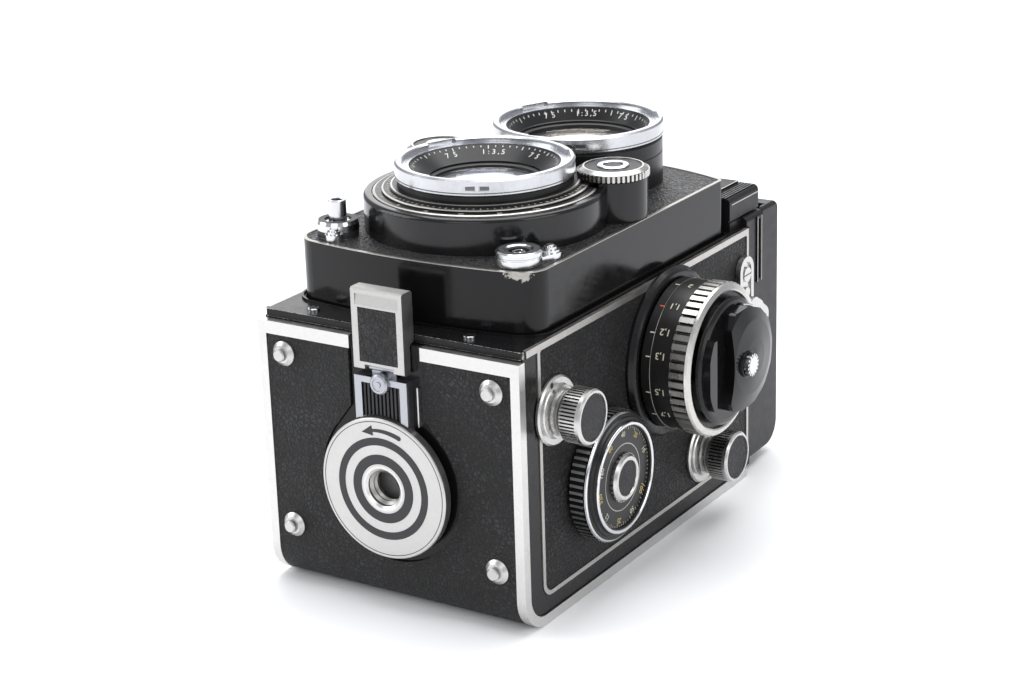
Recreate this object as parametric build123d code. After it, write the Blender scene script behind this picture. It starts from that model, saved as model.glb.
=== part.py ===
from build123d import *
import os
import math

os.makedirs("parts", exist_ok=True)

# ---------------------------------------------------------------------------
# Twin lens reflex camera lying on its back.  Millimetres.
# +Z comes out of the two lenses, +Y points to the viewing hood, +X to the
# focusing knob.  Z = 0 is the plane of the back door, X = Y = 0 the axis of
# the taking lens.
# ---------------------------------------------------------------------------

# body and door
BODY_HX = 38.4          # half width of the body casting
BODY_Y0 = -45.0         # bottom of the casting
BODY_Y1 = 74.0          # top of the casting, under the hood
BODY_Z0 = 2.8           # back of the casting
FLANGE_Z0 = 71.3
FLANGE_Z1 = 73.3
DOOR_HX = 38.9
DOOR_Y0 = -47.8
DOOR_Y1 = 71.2
DOOR_Z1 = 71.0
DOOR_R = 9.5            # outer radius of the bottom/back edge
DOOR_T = 2.6
LEATHER_HX = 36.35
RAIL_Z0 = 67.6
HINGE_Y, HINGE_Z = 72.9, 1.75

# lens board
LB_HX = 35.8
LB_Z0, LB_Z1 = 70.5, 88.7
LB_RIM = 89.3
VIEW_Y = 46.6           # distance between the two lens axes
RING_R = 23.2
RING_Z0, RING_Z1 = 101.7, 106.2
HOUSING_R = 31.5
WHEEL_X, WHEEL_Y, WHEEL_R = 26.6, 19.4, 9.4
RELEASE = (-27.3, -27.2)
FLASH = (27.3, -28.0)
FLASH_PIVOT = (31.7, -20.6)

# side controls (Y, Z of their axes, which run along X)
KNOB_LO = (-31.9, 54.6)
KNOB_HI = (44.4, 17.4)
DIAL = (-10.0, 30.3)
FOCUS = (26.0, 52.0)
CRANK = (24.0, 36.01)
LUG = (68.7, 57.6)
GEAR_M = 1.2            # module of the film advance gears
GEAR_N1, GEAR_N2 = 28, 18
GEAR1_R = GEAR_M * GEAR_N1 / 2
GEAR2_R = GEAR_M * GEAR_N2 / 2

# tripod disc
DISC_Z = 33.3
DISC_R = 18.55
DISC_Y0, DISC_Y1 = -51.0, -48.6
SOCKET_R = 4.76         # 3/8 inch thread

# hood
HOOD_Y0, HOOD_Y1 = 74.0, 84.2
LID_Y0, LID_Y1 = 84.6, 96.0
LID_HY, LID_HZ = 89.5, 71.5
PANEL_Y = 85.1
REAR_Y = 86.4


def box(x0, x1, y0, y1, z0, z1):
    return Pos((x0 + x1) / 2, (y0 + y1) / 2, (z0 + z1) / 2) * Box(x1 - x0, y1 - y0, z1 - z0)


def cylz(x, y, r, z0, z1):
    return Pos(x, y, (z0 + z1) / 2) * Cylinder(r, z1 - z0)


def cylx(y, z, r, x0, x1):
    return Pos((x0 + x1) / 2, y, z) * Rot(0, 90, 0) * Cylinder(r, x1 - x0)


def cyly(x, z, r, y0, y1):
    return Pos(x, (y0 + y1) / 2, z) * Rot(90, 0, 0) * Cylinder(r, y1 - y0)


def prismx(pts, x0, x1):
    w = Polyline([(x0, y, z) for y, z in pts], close=True)
    return extrude(make_face(w), amount=x1 - x0, dir=(1, 0, 0))


def prismy(pts, y0, y1):
    w = Polyline([(x, y0, z) for x, z in pts], close=True)
    return extrude(make_face(w), amount=y1 - y0, dir=(0, 1, 0))


def prismz(pts, z0, z1):
    w = Polyline([(x, y, z0) for x, y in pts], close=True)
    return extrude(make_face(w), amount=z1 - z0, dir=(0, 0, 1))


def teeth(ro, ri, n, duty=0.5, lip=0.25):
    """closed toothed outline as a list of 2-D points"""
    pts = []
    step = 2 * math.pi / n
    for i in range(n):
        a = i * step
        for r, f in ((ri, 0.0), (ro, lip * (1 - duty)), (ro, lip * (1 - duty) + duty), (ri, 1 - (1 - duty) * (1 - lip))):
            pts.append((r * math.cos(a + f * step), r * math.sin(a + f * step)))
    return pts


def gearx(y, z, ro, ri, n, x0, x1, duty=0.5):
    return prismx([(y + a, z + b) for a, b in teeth(ro, ri, n, duty)], x0, x1)


def gearz(x, y, ro, ri, n, z0, z1, duty=0.5):
    return prismz([(x + a, y + b) for a, b in teeth(ro, ri, n, duty)], z0, z1)


def revz(x, y, pts):
    """solid of revolution about a line along Z; pts are (radius, z)"""
    w = Polyline([(r, 0, z) for r, z in pts], close=True)
    return Pos(x, y, 0) * revolve(make_face(w), Axis.Z, 360)


def revx(y, z, pts, flip=False):
    """solid of revolution about a line along X; pts are (radius, x)"""
    w = Polyline([(r, 0, h) for r, h in pts], close=True)
    s = revolve(make_face(w), Axis.Z, 360)
    return Pos(0, y, z) * Rot(0, 90, 0) * s


def revy(x, z, pts):
    """solid of revolution about a line along Y; pts are (radius, y)"""
    w = Polyline([(r, 0, -h) for r, h in pts], close=True)
    s = revolve(make_face(w), Axis.Z, 360)
    return Pos(x, 0, z) * Rot(90, 0, 0) * s


def lblock(y0, z0, r, xh, y1, z1):
    """block whose lower back edge along X is rounded"""
    b = box(-xh, xh, y0, y1, z0, z1)
    e = [e for e in b.edges() if abs(e.center().Y - y0) < 1e-4 and abs(e.center().Z - z0) < 1e-4]
    return fillet(e, r)


def mirror_x(s):
    return mirror(s, Plane.YZ)


def slot_yz(y0, z0, y1, z1, r, x0, x1):
    """stadium along the line from (y0, z0) to (y1, z1)"""
    dy, dz = y1 - y0, z1 - z0
    n = math.hypot(dy, dz)
    ny, nz = -dz / n * r, dy / n * r
    p = prismx([(y0 + ny, z0 + nz), (y1 + ny, z1 + nz), (y1 - ny, z1 - nz), (y0 - ny, z0 - nz)], x0, x1)
    return p + cylx(y0, z0, r, x0, x1) + cylx(y1, z1, r, x0, x1)


def out(name, shape, n=1):
    s = shape.solids()
    if len(s) != n:
        print("WARN", name, "solids", len(s))
        for q in s:
            b = q.bounding_box()
            print("     ", round(q.volume, 2), [round(v, 2) for v in (b.min.X, b.min.Y, b.min.Z, b.max.X, b.max.Y, b.max.Z)])
    if len(s) == 1:
        obj = s[0]
    else:
        obj = Compound(children=list(s))
    obj.label = name
    export_step(obj, "parts/" + name + ".step")
    print("%-24s %8.0f mm3" % (name, sum(q.volume for q in s)))


# ---------------------------------------------------------------------------
# plan outline of the moving lens board, bowed at the bottom and the top
# ---------------------------------------------------------------------------
def lb_face(off=0.0):
    a = ThreePointArc((-LB_HX, -34.2, 0), (0, -37.8, 0), (LB_HX, -34.2, 0))
    b = ThreePointArc((LB_HX, 62.5, 0), (0, 70.5, 0), (-LB_HX, 62.5, 0))
    w = Wire([a.edge() if hasattr(a, "edge") else a,
              Line((LB_HX, -34.2, 0), (LB_HX, 62.5, 0)).edge(),
              b.edge() if hasattr(b, "edge") else b,
              Line((-LB_HX, 62.5, 0), (-LB_HX, -34.2, 0)).edge()])
    f = make_face(w)
    near = [v for v in f.vertices() if v.Y < 0]
    f = fillet(near, 7.0)
    far = [v for v in f.vertices() if v.Y > 60]
    f = fillet(far, 2.0)
    if off:
        f = offset(f, amount=off, kind=Kind.ARC)
    return f


def lb_prism(off, z0, z1):
    f = lb_face(off)
    return Pos(0, 0, z0) * extrude(f, amount=z1 - z0, dir=(0, 0, 1))


# ---------------------------------------------------------------------------
# body casting: side walls, film channel, spool wells, light box, mirror box
# ---------------------------------------------------------------------------
casting = lblock(BODY_Y0, BODY_Z0, 6.7, BODY_HX, BODY_Y1, FLANGE_Z0)
casting -= box(-33, 33, BODY_Y0 - 1, -41.8, BODY_Z0 - 1, 66.0)
casting -= box(-33, 33, -42.0, 58.0, BODY_Z0 - 1, 7.4)
casting -= cylx(KNOB_LO[0], KNOB_LO[1], 13.2, -33, 33)
casting -= cylx(KNOB_HI[0], KNOB_HI[1], 13.4, -33, 33)
casting -= box(-33, 33, 31.0, 57.8, BODY_Z0 - 1, KNOB_HI[1])
casting -= prismx([(-28, 7), (28, 7), (19.5, 45), (19.5, 72), (-17.6, 72), (-17.6, 45)], -28, 28)
casting -= prismx([(22.0, 72), (60.5, 72), (60.5, 67.0), (74.5, 67.0), (74.5, 13.1), (22.0, 65.6)], -31, 31)
skirt_slot = lb_prism(0.45, 63.8, FLANGE_Z0 + 1) - lb_prism(-2.1, 63.0, FLANGE_Z0 + 2)
casting -= skirt_slot
# side pockets for leather and trim
for s in (-1, 1):
    xa, xb = (37.6, 40) if s > 0 else (-40, -37.6)
    pocket = box(xa, xb, -39.1, 72.7, 6.9, 80)
    pocket = fillet([e for e in pocket.edges() if abs(e.center().Y + 39.1) < 1e-4 and abs(e.center().Z - 6.9) < 1e-4], 4.0)
    casting -= pocket
# groove and knuckles of the door hinge
casting -= cylx(HINGE_Y, HINGE_Z, 1.85, -24.4, 24.4)
casting -= box(-24.4, 24.4, 71.0, 75.0, BODY_Z0 - 1, 3.0)
for s in (-1, 1):
    k0, k1 = sorted((s * 24.7, s * 29.5))
    kn = cylx(HINGE_Y, HINGE_Z, 1.55, k0, k1) + box(k0, k1, 72.0, 73.9, HINGE_Z, 4.0)
    casting += kn
casting -= cylx(HINGE_Y, HINGE_Z, 0.78, -28.9, 28.9)
# bores for the spool spindles, the crank and the dial; pocket for the advance gears
casting -= cylx(KNOB_LO[0], KNOB_LO[1], 3.07, 30, 40)
casting -= cylx(KNOB_HI[0], KNOB_HI[1], 3.07, 30, 40)
casting -= cylx(DIAL[0], DIAL[1], 2.57, 34.0, 40)
casting -= cylx(CRANK[0], CRANK[1], GEAR1_R + GEAR_M + 0.5, -40, -34.9)
casting -= cylx(KNOB_HI[0], KNOB_HI[1], GEAR2_R + GEAR_M + 0.5, -40, -34.9)
casting -= cylx(CRANK[0], CRANK[1], 3.07, -40, -33.0)
casting -= cylx(KNOB_HI[0], KNOB_HI[1], 3.07, -40, -30.0)
casting += cylx(KNOB_LO[0], KNOB_LO[1], 1.85, -33.3, -28.5)
# tapped holes under the flange screws
SCREWS = [(-25.8, -41.3), (21.0, -41.3), (-36.6, 60.0), (36.6, 60.0)]
out("body_casting", casting)

# ---------------------------------------------------------------------------
# front flange with the opening for the lens board
# ---------------------------------------------------------------------------
flange = box(-BODY_HX, BODY_HX, -45.35, BODY_Y1, FLANGE_Z0, FLANGE_Z1)
flange = chamfer([e for e in flange.edges() if abs(e.center().Y + 45.35) < 1e-4 and abs(abs(e.center().X) - BODY_HX) < 1e-4], 0.8)
flange += lb_prism(1.4, FLANGE_Z1 - 0.5, FLANGE_Z1 + 0.6) - lb_prism(0.9, FLANGE_Z1, FLANGE_Z1 + 1)
flange -= lb_prism(0.35, FLANGE_Z0 - 1, FLANGE_Z1 + 2)
for s in (-1, 1):
    xa, xb = (37.6, 40) if s > 0 else (-40, -37.6)
    flange -= box(xa, xb, -39.1, 72.7, FLANGE_Z0 - 1, 80)
    flange -= box(xa, xb, -44.0, -39.0, FLANGE_Z0 - 1, 80)
for x, y in SCREWS[:2]:
    flange -= cylz(x, y, 1.0, FLANGE_Z0 - 1, FLANGE_Z1 + 1)
out("front_flange", flange)

# small cheese-head screws holding the flange
scr = None
for x, y in SCREWS[:2]:
    q = cylz(x, y, 1.55, FLANGE_Z1, FLANGE_Z1 + 0.7)
    q = fillet([e for e in q.edges() if abs(e.center().Z - FLANGE_Z1 - 0.7) < 1e-4], 0.25)
    q += cylz(x, y, 1.0, FLANGE_Z0, FLANGE_Z1)
    q -= box(x - 0.25, x + 0.25, y - 2, y + 2, FLANGE_Z1 + 0.35, FLANGE_Z1 + 1)
    scr = q if scr is None else scr + q
out("flange_screws", scr, 2)

# ---------------------------------------------------------------------------
# side leather and the thin metal trim round it (right = +X)
# ---------------------------------------------------------------------------
def side_block(x0, x1, y0, y1, z0, z1, r):
    b = box(x0, x1, y0, y1, z0, z1)
    return fillet([e for e in b.edges() if abs(e.center().Y - y0) < 1e-4 and abs(e.center().Z - z0) < 1e-4], r)


trim = side_block(37.6, 38.7, -39.0, 72.6, 7.0, FLANGE_Z1, 3.9)
inner = side_block(37.0, 39.0, -37.8, 71.5, 8.1, 71.6, 2.8)
inner = fillet([e for e in inner.edges() if abs(e.center().Z - 71.6) < 1e-4 and abs(e.length - 2.0) < 1e-3], 0.8)
trim_r = trim - inner
trim_r += box(37.6, 38.7, -43.9, -38.9, 71.5, FLANGE_Z1)
out("side_trims", trim_r + mirror_x(trim_r), 2)

leather = side_block(37.65, 38.5, -37.8, 71.5, 8.1, 71.6, 2.8)
leather = fillet([e for e in leather.edges() if abs(e.center().Z - 71.6) < 1e-4 and abs(e.length - 0.85) < 1e-3], 0.8)
leather_l = mirror_x(leather)
for c in (KNOB_LO, KNOB_HI):
    leather -= cylx(c[0], c[1], 3.4, 36, 40)
leather -= cylx(DIAL[0], DIAL[1], 2.9, 36, 40)
leather -= cylx(FOCUS[0], FOCUS[1], 12.0, 36, 40)
out("side_leather_right", leather)
leather_l -= cylx(CRANK[0], CRANK[1], 3.6, -40, -36)
out("side_leather_left", leather_l)

# ---------------------------------------------------------------------------
# reflex mirror and focusing screen
# ---------------------------------------------------------------------------
c0, c1 = 87.7, 89.6
mir = prismx([(25.0, c0 - 25.0), (71.5, c0 - 71.5), (71.5 + 0.95, c1 - 72.45), (25.95, c1 - 25.95)], -30, 30)
out("reflex_mirror", mir)
out("focusing_screen", box(-32.6, 32.6, 74.0, 75.4, 11.6, 69.2))

# ---------------------------------------------------------------------------
# meter block in front of the hood, with ribbed ends, and its plain plate
# ---------------------------------------------------------------------------
blk = box(-35.6, 35.6, 67.2, 84.6, FLANGE_Z1, 82.6)
blk = fillet([e for e in blk.edges() if abs(abs(e.center().X) - 35.6) < 1e-3 and abs(e.center().Z - 82.6) < 1e-3], 1.6)
blk -= box(-50, 50, BODY_Y1, 90, 70, 75.8)
for s in (-1, 1):
    for i in range(5):
        xg = s * (30.6 + 0.95 * i)
        blk -= box(xg - 0.22, xg + 0.22, 60, 84.0, 82.15, 84)
    blk -= box(s * 36.0 - 0.8, s * 36.0 + 0.8, 60, 90, 75.6, 76.1)
blk -= lb_prism(1.75, 70, 90)
out("meter_block", blk)
npl = box(-29.7, 29.7, 60, 83.8, 82.6, 83.1) - lb_prism(2.3, 70, 90)
out("nameplate", npl)

# ---------------------------------------------------------------------------
# hood frame round the focusing screen
# ---------------------------------------------------------------------------
hf = box(-37.4, 37.4, HOOD_Y0, HOOD_Y1, BODY_Z0, 75.6)
hf = fillet([e for e in hf.edges() if abs(e.center().Z - BODY_Z0) < 1e-4 and abs(abs(e.center().X) - 37.4) < 1e-4], 2.0)
hf = fillet([e for e in hf.edges() if abs(e.center().Z - 75.6) < 1e-4 and abs(abs(e.center().X) - 37.4) < 1e-4], 1.5)
hf -= box(-33.2, 33.2, HOOD_Y0 - 1, HOOD_Y1 + 1, 7.4, 69.6)
hf -= cylx(HINGE_Y, HINGE_Z, 1.9, -31, 31)
hf -= box(-31, 31, 73.0, 74.8, BODY_Z0 - 1, 3.2)
# raised bead on the side cheeks
for s in (-1, 1):
    x0, x1 = sorted((s * 37.4, s * 37.75))
    bead = box(x0, x1, 79.8, 82.6, 55.5, 74.6)
    bead -= box(x0 - 1, x1 + 1, 80.6, 81.8, 56.3, 73.8)
    hf += bead
    x0, x1 = sorted((s * 32.6, s * 34.7))
    ear = cylx(LID_HY, LID_HZ, 2.2, x0, x1) + box(x0, x1, HOOD_Y1 - 0.5, LID_HY, LID_HZ - 2.2, LID_HZ)
    ear -= cylx(LID_HY, LID_HZ, 1.26, x0 - 1, x1 + 1)
    hf += ear
    for z0 in (8.2, 65.2):
        x0, x1 = sorted((s * 32.5, s * 34.7))
        hf += box(x0, x1, HOOD_Y1 - 0.5, PANEL_Y + 1.05, z0, z0 + 2.4) - cylz(s * 33.6, PANEL_Y, 0.66, z0 - 1, z0 + 4)
    x0, x1 = sorted((s * 27.0, s * 29.4))
    hf += box(x0, x1, HOOD_Y1 - 0.5, REAR_Y + 1.05, 5.1, 7.3) - cylx(REAR_Y, 6.2, 0.66, x0 - 1, x1 + 1)
out("hood_frame", hf)

# lid of the folded hood, hinged at its front edge
lid = box(-36.5, 36.5, LID_Y0, LID_Y1, 2.6, 75.6)
lid = fillet([e for e in lid.edges() if abs(e.center().Y - LID_Y1) < 1e-4 and abs(e.center().Z - 2.6) < 1e-4], 7.0)
lid = fillet([e for e in lid.edges() if abs(e.center().Y - LID_Y1) < 1e-4 and abs(e.center().Z - 75.6) < 1e-4], 2.4)
lid = fillet([e for e in lid.edges() if abs(abs(e.center().X) - 36.5) < 1e-3 and e.center().Y > 90 and e.length > 0.5], 1.2)
cav = box(-35.0, 35.0, LID_Y0 - 1, LID_Y1 - 1.6, 4.2, 74.0)
cav = fillet([e for e in cav.edges() if abs(e.center().Y - LID_Y1 + 1.6) < 1e-4 and abs(e.center().Z - 4.2) < 1e-4], 5.4)
lid -= cav
# the front lower corners clear the frame while the lid swings up
cut = box(-40, 40, LID_Y0 - 1, LID_HY, LID_HZ, 80) - cylx(LID_HY, LID_HZ, 5.0, -40, 40)
lid -= cut
lid -= box(-35.0, 35.0, LID_Y0 - 1, LID_HY + 0.3, 73.0, 80)
for s in (-1, 1):
    lid += cylx(LID_HY, LID_HZ, 1.2, *sorted((s * 32.7, s * 35.4)))
    lug = box(*sorted((s * 10.5, s * 12.0)), 90.9, LID_Y1 - 1.2, 30.0, 33.0)
    lug -= cylx(91.9, 31.5, 0.86, *sorted((s * 10.0, s * 12.5)))
    lid += lug
# shallow pressed panel in the lid
lid -= (box(-24, 24, LID_Y1 - 0.3, LID_Y1 + 1, 16, 64) - box(-23.2, 23.2, LID_Y1 - 1, LID_Y1 + 1, 16.8, 63.2))
out("hood_lid", lid)

# folding light shields under the lid
pr = [(33.6, 11.2), (31.8, 11.2), (31.8, 9.4), (13.1, 28.1), (0.5, 40.7), (0.5, 57.0), (13.6, 67.6), (31.8, 68.2), (31.8, 64.6), (33.6, 64.6)]
panel = prismy(pr, PANEL_Y - 0.35, PANEL_Y + 0.35) + cylz(33.6, PANEL_Y, 0.6, 7.0, 68.2)
out("hood_panel_right", panel)
out("hood_panel_left", mirror_x(panel))
rear = prismy([(-31.5, 8.6), (-31.5, 26.2), (31.5, 26.2), (31.5, 8.6), (26.4, 8.6), (26.4, 6.2), (-26.4, 6.2), (-26.4, 8.6)], REAR_Y - 0.35, REAR_Y + 0.35)
rear += cylx(REAR_Y, 6.2, 0.6, -30.4, 30.4)
out("hood_panel_rear", rear)

# magnifier on the lid
mag = box(-14, 14, 89.0, 90.6, 8.0, 29.0) + box(-10.3, 10.3, 89.0, 90.6, 28.0, 31.5)
mag = fillet([e for e in mag.edges() if abs(e.center().Z - 8.0) < 1e-3 and abs(abs(e.center().X) - 14) < 1e-3], 3.0)
mag += cylx(91.9, 31.5, 1.4, -10.3, 10.3)
mag += cylx(91.9, 31.5, 0.8, -12.0, 12.0)
mag += cyly(0, 18.5, 11.2, 88.2, 90.6) - cyly(0, 18.5, 9.6, 80, 100)
mag -= cyly(0, 18.5, 9.6, 80, 100)
out("magnifier_frame", mag)
ml = cyly(0, 18.5, 9.6, 88.9, 90.0)
ml += (Pos(0, 90.0 - 23.0, 18.5) * Sphere(25.0)) & cyly(0, 18.5, 9.5, 89.5, 93)
out("magnifier_lens", ml)

# ---------------------------------------------------------------------------
# back door: L-shaped shell, metal border, leather, feet, pressure plate
# ---------------------------------------------------------------------------
d_out = lblock(DOOR_Y0, 0.0, DOOR_R, DOOR_HX, DOOR_Y1, DOOR_Z1)
d_in = lblock(DOOR_Y0 + DOOR_T, DOOR_T, DOOR_R - DOOR_T, 60, 90, 90)
d_lea = lblock(DOOR_Y0 + 0.8, 0.8, DOOR_R - 0.8, 60, 90, 90)
d_lea_top = lblock(DOOR_Y0 + 0.1, 0.0, DOOR_R - 0.05, 60, 90, 90)
d_mid = lblock(DOOR_Y0 + 1.5, 1.5, DOOR_R - 1.5, 60, 90, 90)
d_mid2 = lblock(DOOR_Y0 + 1.2, 1.2, DOOR_R - 1.2, 60, 90, 90)
sheet = d_out - d_in

border = box(LEATHER_HX, 60, -60, 90, -5, 90) + box(-60, -LEATHER_HX, -60, 90, -5, 90) + box(-60, 60, -60, -40, RAIL_Z0, 90)
border += box(-60, 60, 69.6, 90, -5, 20)
side_strip = box(38.0, 60, -60, 90, -5, 90) + box(-60, -38.0, -60, 90, -5, 90)
lip_strip = box(-60, 60, -60, -40, 70.2, 90)
trim_reg = (sheet & border) - d_mid
trim_all = trim_reg + (sheet & side_strip) + (sheet & lip_strip)
trim_all -= box(-10.6, 10.6, -60, -40, 60, 90)
trim_all -= box(-24, 24, 70.5, 75, 0.9, 2.3)
# rounded inner corners of the border
out("door_trim", trim_all)

shell = sheet - d_lea.__class__([]) if False else sheet
shell = (sheet & d_lea) - trim_all
shell -= box(-10.6, 10.6, -60, -47.05, RAIL_Z0 - 1, 90)
shell += box(-24, 24, 70.5, HINGE_Y, 0.9, 2.3) + cylx(HINGE_Y, HINGE_Z, 1.6, -24, 24)
shell += cylx(HINGE_Y, HINGE_Z, 0.7, -28.6, 28.6)
shell -= cyly(0, DISC_Z, 7.06, -60, -40)
POSTS = [(-25.0, 0.0), (25.0, 0.0)]
for x, y in POSTS:
    shell += cylz(x, y, 1.2, 2.5, 6.9)
out("door_shell", shell)

cover = (d_lea_top & d_out) - d_lea
cover &= box(-LEATHER_HX, LEATHER_HX, -60, 69.5, -5, RAIL_Z0)
recess = cyly(0, DISC_Z, 20.6, -60, -40) & box(-60, 60, -60, -40, -5, 90)
recess += box(-11, 11, -60, -40, DISC_Z, 90)
recess += prismy([(-16.5, 45.6), (16.5, 45.6), (11.0, 52.6), (-11.0, 52.6)], -60, -40)
cover -= recess
corner = [e for e in cover.edges() if abs(abs(e.center().X) - LEATHER_HX) < 1e-3 and abs(e.center().Z - RAIL_Z0) < 1e-3 and e.length < 1.2]
cover = fillet(corner, 1.8) if corner else cover
cover = fillet([e for e in cover.edges() if e.center().Y > 69.4 and abs(abs(e.center().X) - LEATHER_HX) < 1e-3 and e.length < 1.2], 1.8)
out("door_leather", cover)

# four stepped feet on the bottom
feet = None
for x in (-31.0, 31.0):
    for z in (63.0, 16.4):
        f = revy(x, z, [(0, -47.7), (3.25, -47.7), (3.25, -48.1), (2.3, -48.9), (1.75, -49.0), (1.7, -50.0), (1.4, -50.35), (0, -50.35)])
        feet = f if feet is None else feet + f
out("door_feet", feet, 4)

# sprung pressure plate behind the film
pp = box(-31, 31, -30, 30, 5.0, 6.4)
for x, y in POSTS:
    pp -= cylz(x, y, 1.3, 0, 10)
pp = fillet([e for e in pp.edges() if abs(abs(e.center().X) - 31) < 1e-3 and abs(abs(e.center().Y) - 30) < 1e-3], 3.0)
out("pressure_plate", pp)

# tripod disc with coarse threaded socket; turning it works the bottom latch
disc = revy(0, DISC_Z, [(SOCKET_R, DISC_Y0 + 0.5), (SOCKET_R + 0.6, DISC_Y0 + 0.0), (6.35, DISC_Y0), (DISC_R - 0.25, DISC_Y0), (DISC_R, DISC_Y0 + 0.25),
                        (DISC_R, DISC_Y1), (9.0, DISC_Y1), (9.0, -47.1), (7.0, -47.1), (7.0, -45.35), (0, -45.35), (0, -46.2), (SOCKET_R, -46.2)])
out("lock_disc", disc)

# sliding latch frame beside the disc
def disc_clear(y0, y1):
    return cyly(0, DISC_Z, DISC_R + 0.35, y0, y1)


fr = box(-7.8, 7.8, -50.0, -49.0, 46, 62.0)
fr -= box(-5.7, 5.7, -60, -40, 40, 60.4)
fr -= disc_clear(-60, -48.5)
fr += box(-7.8, 7.8, -49.0, -48.1, 46, 62.0) - box(-5.7, 5.7, -60, -40, 30, 60.4) - disc_clear(-60, -48.5)
fr += box(-7.8, 7.8, -48.1, -47.1, 45.0, 62.0)
fr += box(-3.6, 3.6, -48.1, -47.3, 61.0, 65.0)
fr += cylx(-48.3, 64.3, 0.9, -3.6, 3.6) + cylx(-48.3, 64.3, 0.55, -7.2, 7.2)
fr += revy(0, 60.7, [(0, -49.5), (2.6, -49.5), (2.6, -50.7), (2.2, -51.1), (1.7, -51.1), (1.6, -50.9), (0.8, -50.9), (0.7, -51.15), (0, -51.15)]) + cyly(0, 60.7, 2.6, -49.6, -48.0)
fr -= revy(0, DISC_Z, [(0, -60), (DISC_R + 0.35, -60), (DISC_R + 0.35, -48.45), (9.3, -48.45), (9.3, -40), (0, -40)])
out("lock_slide", fr)
ins = box(-5.7, 5.7, -48.9, -48.1, 47.0, 60.4)
for i in range(10):
    xg = -5.13 + 1.14 * i
    ins += box(xg - 0.28, xg + 0.28, -49.5, -48.8, 47.0, 60.4)
ins -= disc_clear(-60, -40)
ins -= cyly(0, 60.7, 2.6, -60, -40)
out("lock_slide_insert", ins)

# clasp lever with leather inset
prof = [(-50.1, 64.0), (-50.1, 84.2), (-49.7, 84.6), (-46.2, 84.6), (-45.6, 84.0), (-45.6, 71.7), (-47.35, 71.0), (-47.35, 65.6), (-47.7, 63.75), (-49.4, 63.6)]
cl = prismx(prof, -7.55, 7.55)
cl -= box(-6.3, 6.3, -49.35, -40, 60, 83.4)
cl -= box(-4.3, 4.3, -60, -47, 60, 65.1)
cl = cl - prismx([(-51, 65.8), (-49.7, 65.8), (-49.7, 79.8), (-51, 79.8)], -5.7, 5.7)
cl += (box(-6.9, -4.6, -49.4, -47.7, 63.7, 65.6) + box(4.6, 6.9, -49.4, -47.7, 63.7, 65.6)) & prismx(prof, -7.55, 7.55)
# hollow dished tip at the top
cl -= prismx([(-51, 80.4), (-50.05, 80.4), (-49.75, 83.2), (-51, 83.2)], -6.4, 6.4)
cl -= cylx(-48.3, 64.3, 0.62, -7.3, 7.3)
cl -= cylx(-48.3, 64.3, 1.05, -4.3, 4.3)
out("clasp_frame", cl)
out("clasp_leather", box(-5.6, 5.6, -50.15, -49.7, 65.9, 79.7))

# ---------------------------------------------------------------------------
# lens board box, its leather, the shutter housing with two turrets
# ---------------------------------------------------------------------------
lbb = lb_prism(0, LB_Z0, LB_Z1) - lb_prism(-1.6, LB_Z0 - 1, LB_Z1 - 2.0)
lbb += lb_prism(0, LB_Z1 - 0.2, LB_RIM) - lb_prism(-0.8, LB_Z1 - 1, LB_RIM + 1)
lbb -= cylz(0, 0, 20.05, 80, 95)
lbb -= cylz(0, VIEW_Y, 22.95, 80, 95)
out("lens_board_box", lbb)

hs = cylz(0, 0, HOUSING_R, LB_Z1, 98.5)
hs = fillet([e for e in hs.edges() if abs(e.center().Z - 98.5) < 1e-4], 1.1)
for s in (-1, 1):
    hs += cylz(s * WHEEL_X, WHEEL_Y, 8.9, LB_Z1, 99.8)
hs -= cylz(0, 0, 29.3, 97.7, 110)
hs -= cylz(0, VIEW_Y, 22.95, 80, 110)
hs -= cylz(0, 0, 20.05, 80, 110)
for s in (-1, 1):
    hs -= cylz(s * WHEEL_X, WHEEL_Y, 3.06, 93.0, 110)
hs -= lb_prism(3, 88, LB_RIM) - lb_prism(-0.8, 87, 91)
out("shutter_housing", hs)

lt = lb_prism(-0.8, LB_Z1, 89.2)
lt -= cylz(0, 0, HOUSING_R, 80, 95)
lt -= cylz(0, VIEW_Y, 22.95, 80, 95)
for s in (-1, 1):
    lt -= cylz(s * WHEEL_X, WHEEL_Y, 8.9, 80, 95)
sol = sorted(lt.solids(), key=lambda q: -q.volume)
print("leather pieces", [round(q.volume, 1) for q in sol])
out("lens_board_leather", lt, len(sol))

# barrels: threaded / scale rings, name cone (blank), tube
def barrel_profile(r_in, r_top):
    return [(r_in, 78.0), (20.0, 78.0), (20.0, 97.75), (28.9, 97.75), (28.9, 98.55), (28.3, 98.75), (26.6, 98.75), (26.6, 99.25), (26.0, 99.4), (24.6, 99.4),
            (24.6, 99.95), (24.1, 100.1), (22.7, 100.1), (22.7, RING_Z0), (19.5, RING_Z0), (19.5, 104.5), (19.1, 104.7), (r_in + 0.3, 101.6), (r_in, 101.4)]


tb = revz(0, 0, barrel_profile(14.6, 0))
tb -= cylz(0, VIEW_Y, 23.0, 90, 110)
for s in (-1, 1):
    tb -= cylz(s * WHEEL_X, WHEEL_Y, 9.25, 97.0, 110)
out("taking_barrel", tb)
vb = revz(0, VIEW_Y, [(16.6, 80.0), (22.0, 80.0), (22.0, 86.7), (22.95, 86.7), (22.95, 97.4), (22.75, 97.5), (22.75, 97.8), (22.95, 97.9), (22.95, 101.2), (22.5, RING_Z0),
                      (19.5, RING_Z0), (19.5, 104.5), (19.1, 104.7), (16.9, 101.6), (16.6, 101.4)])
out("viewing_barrel", vb)


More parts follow.
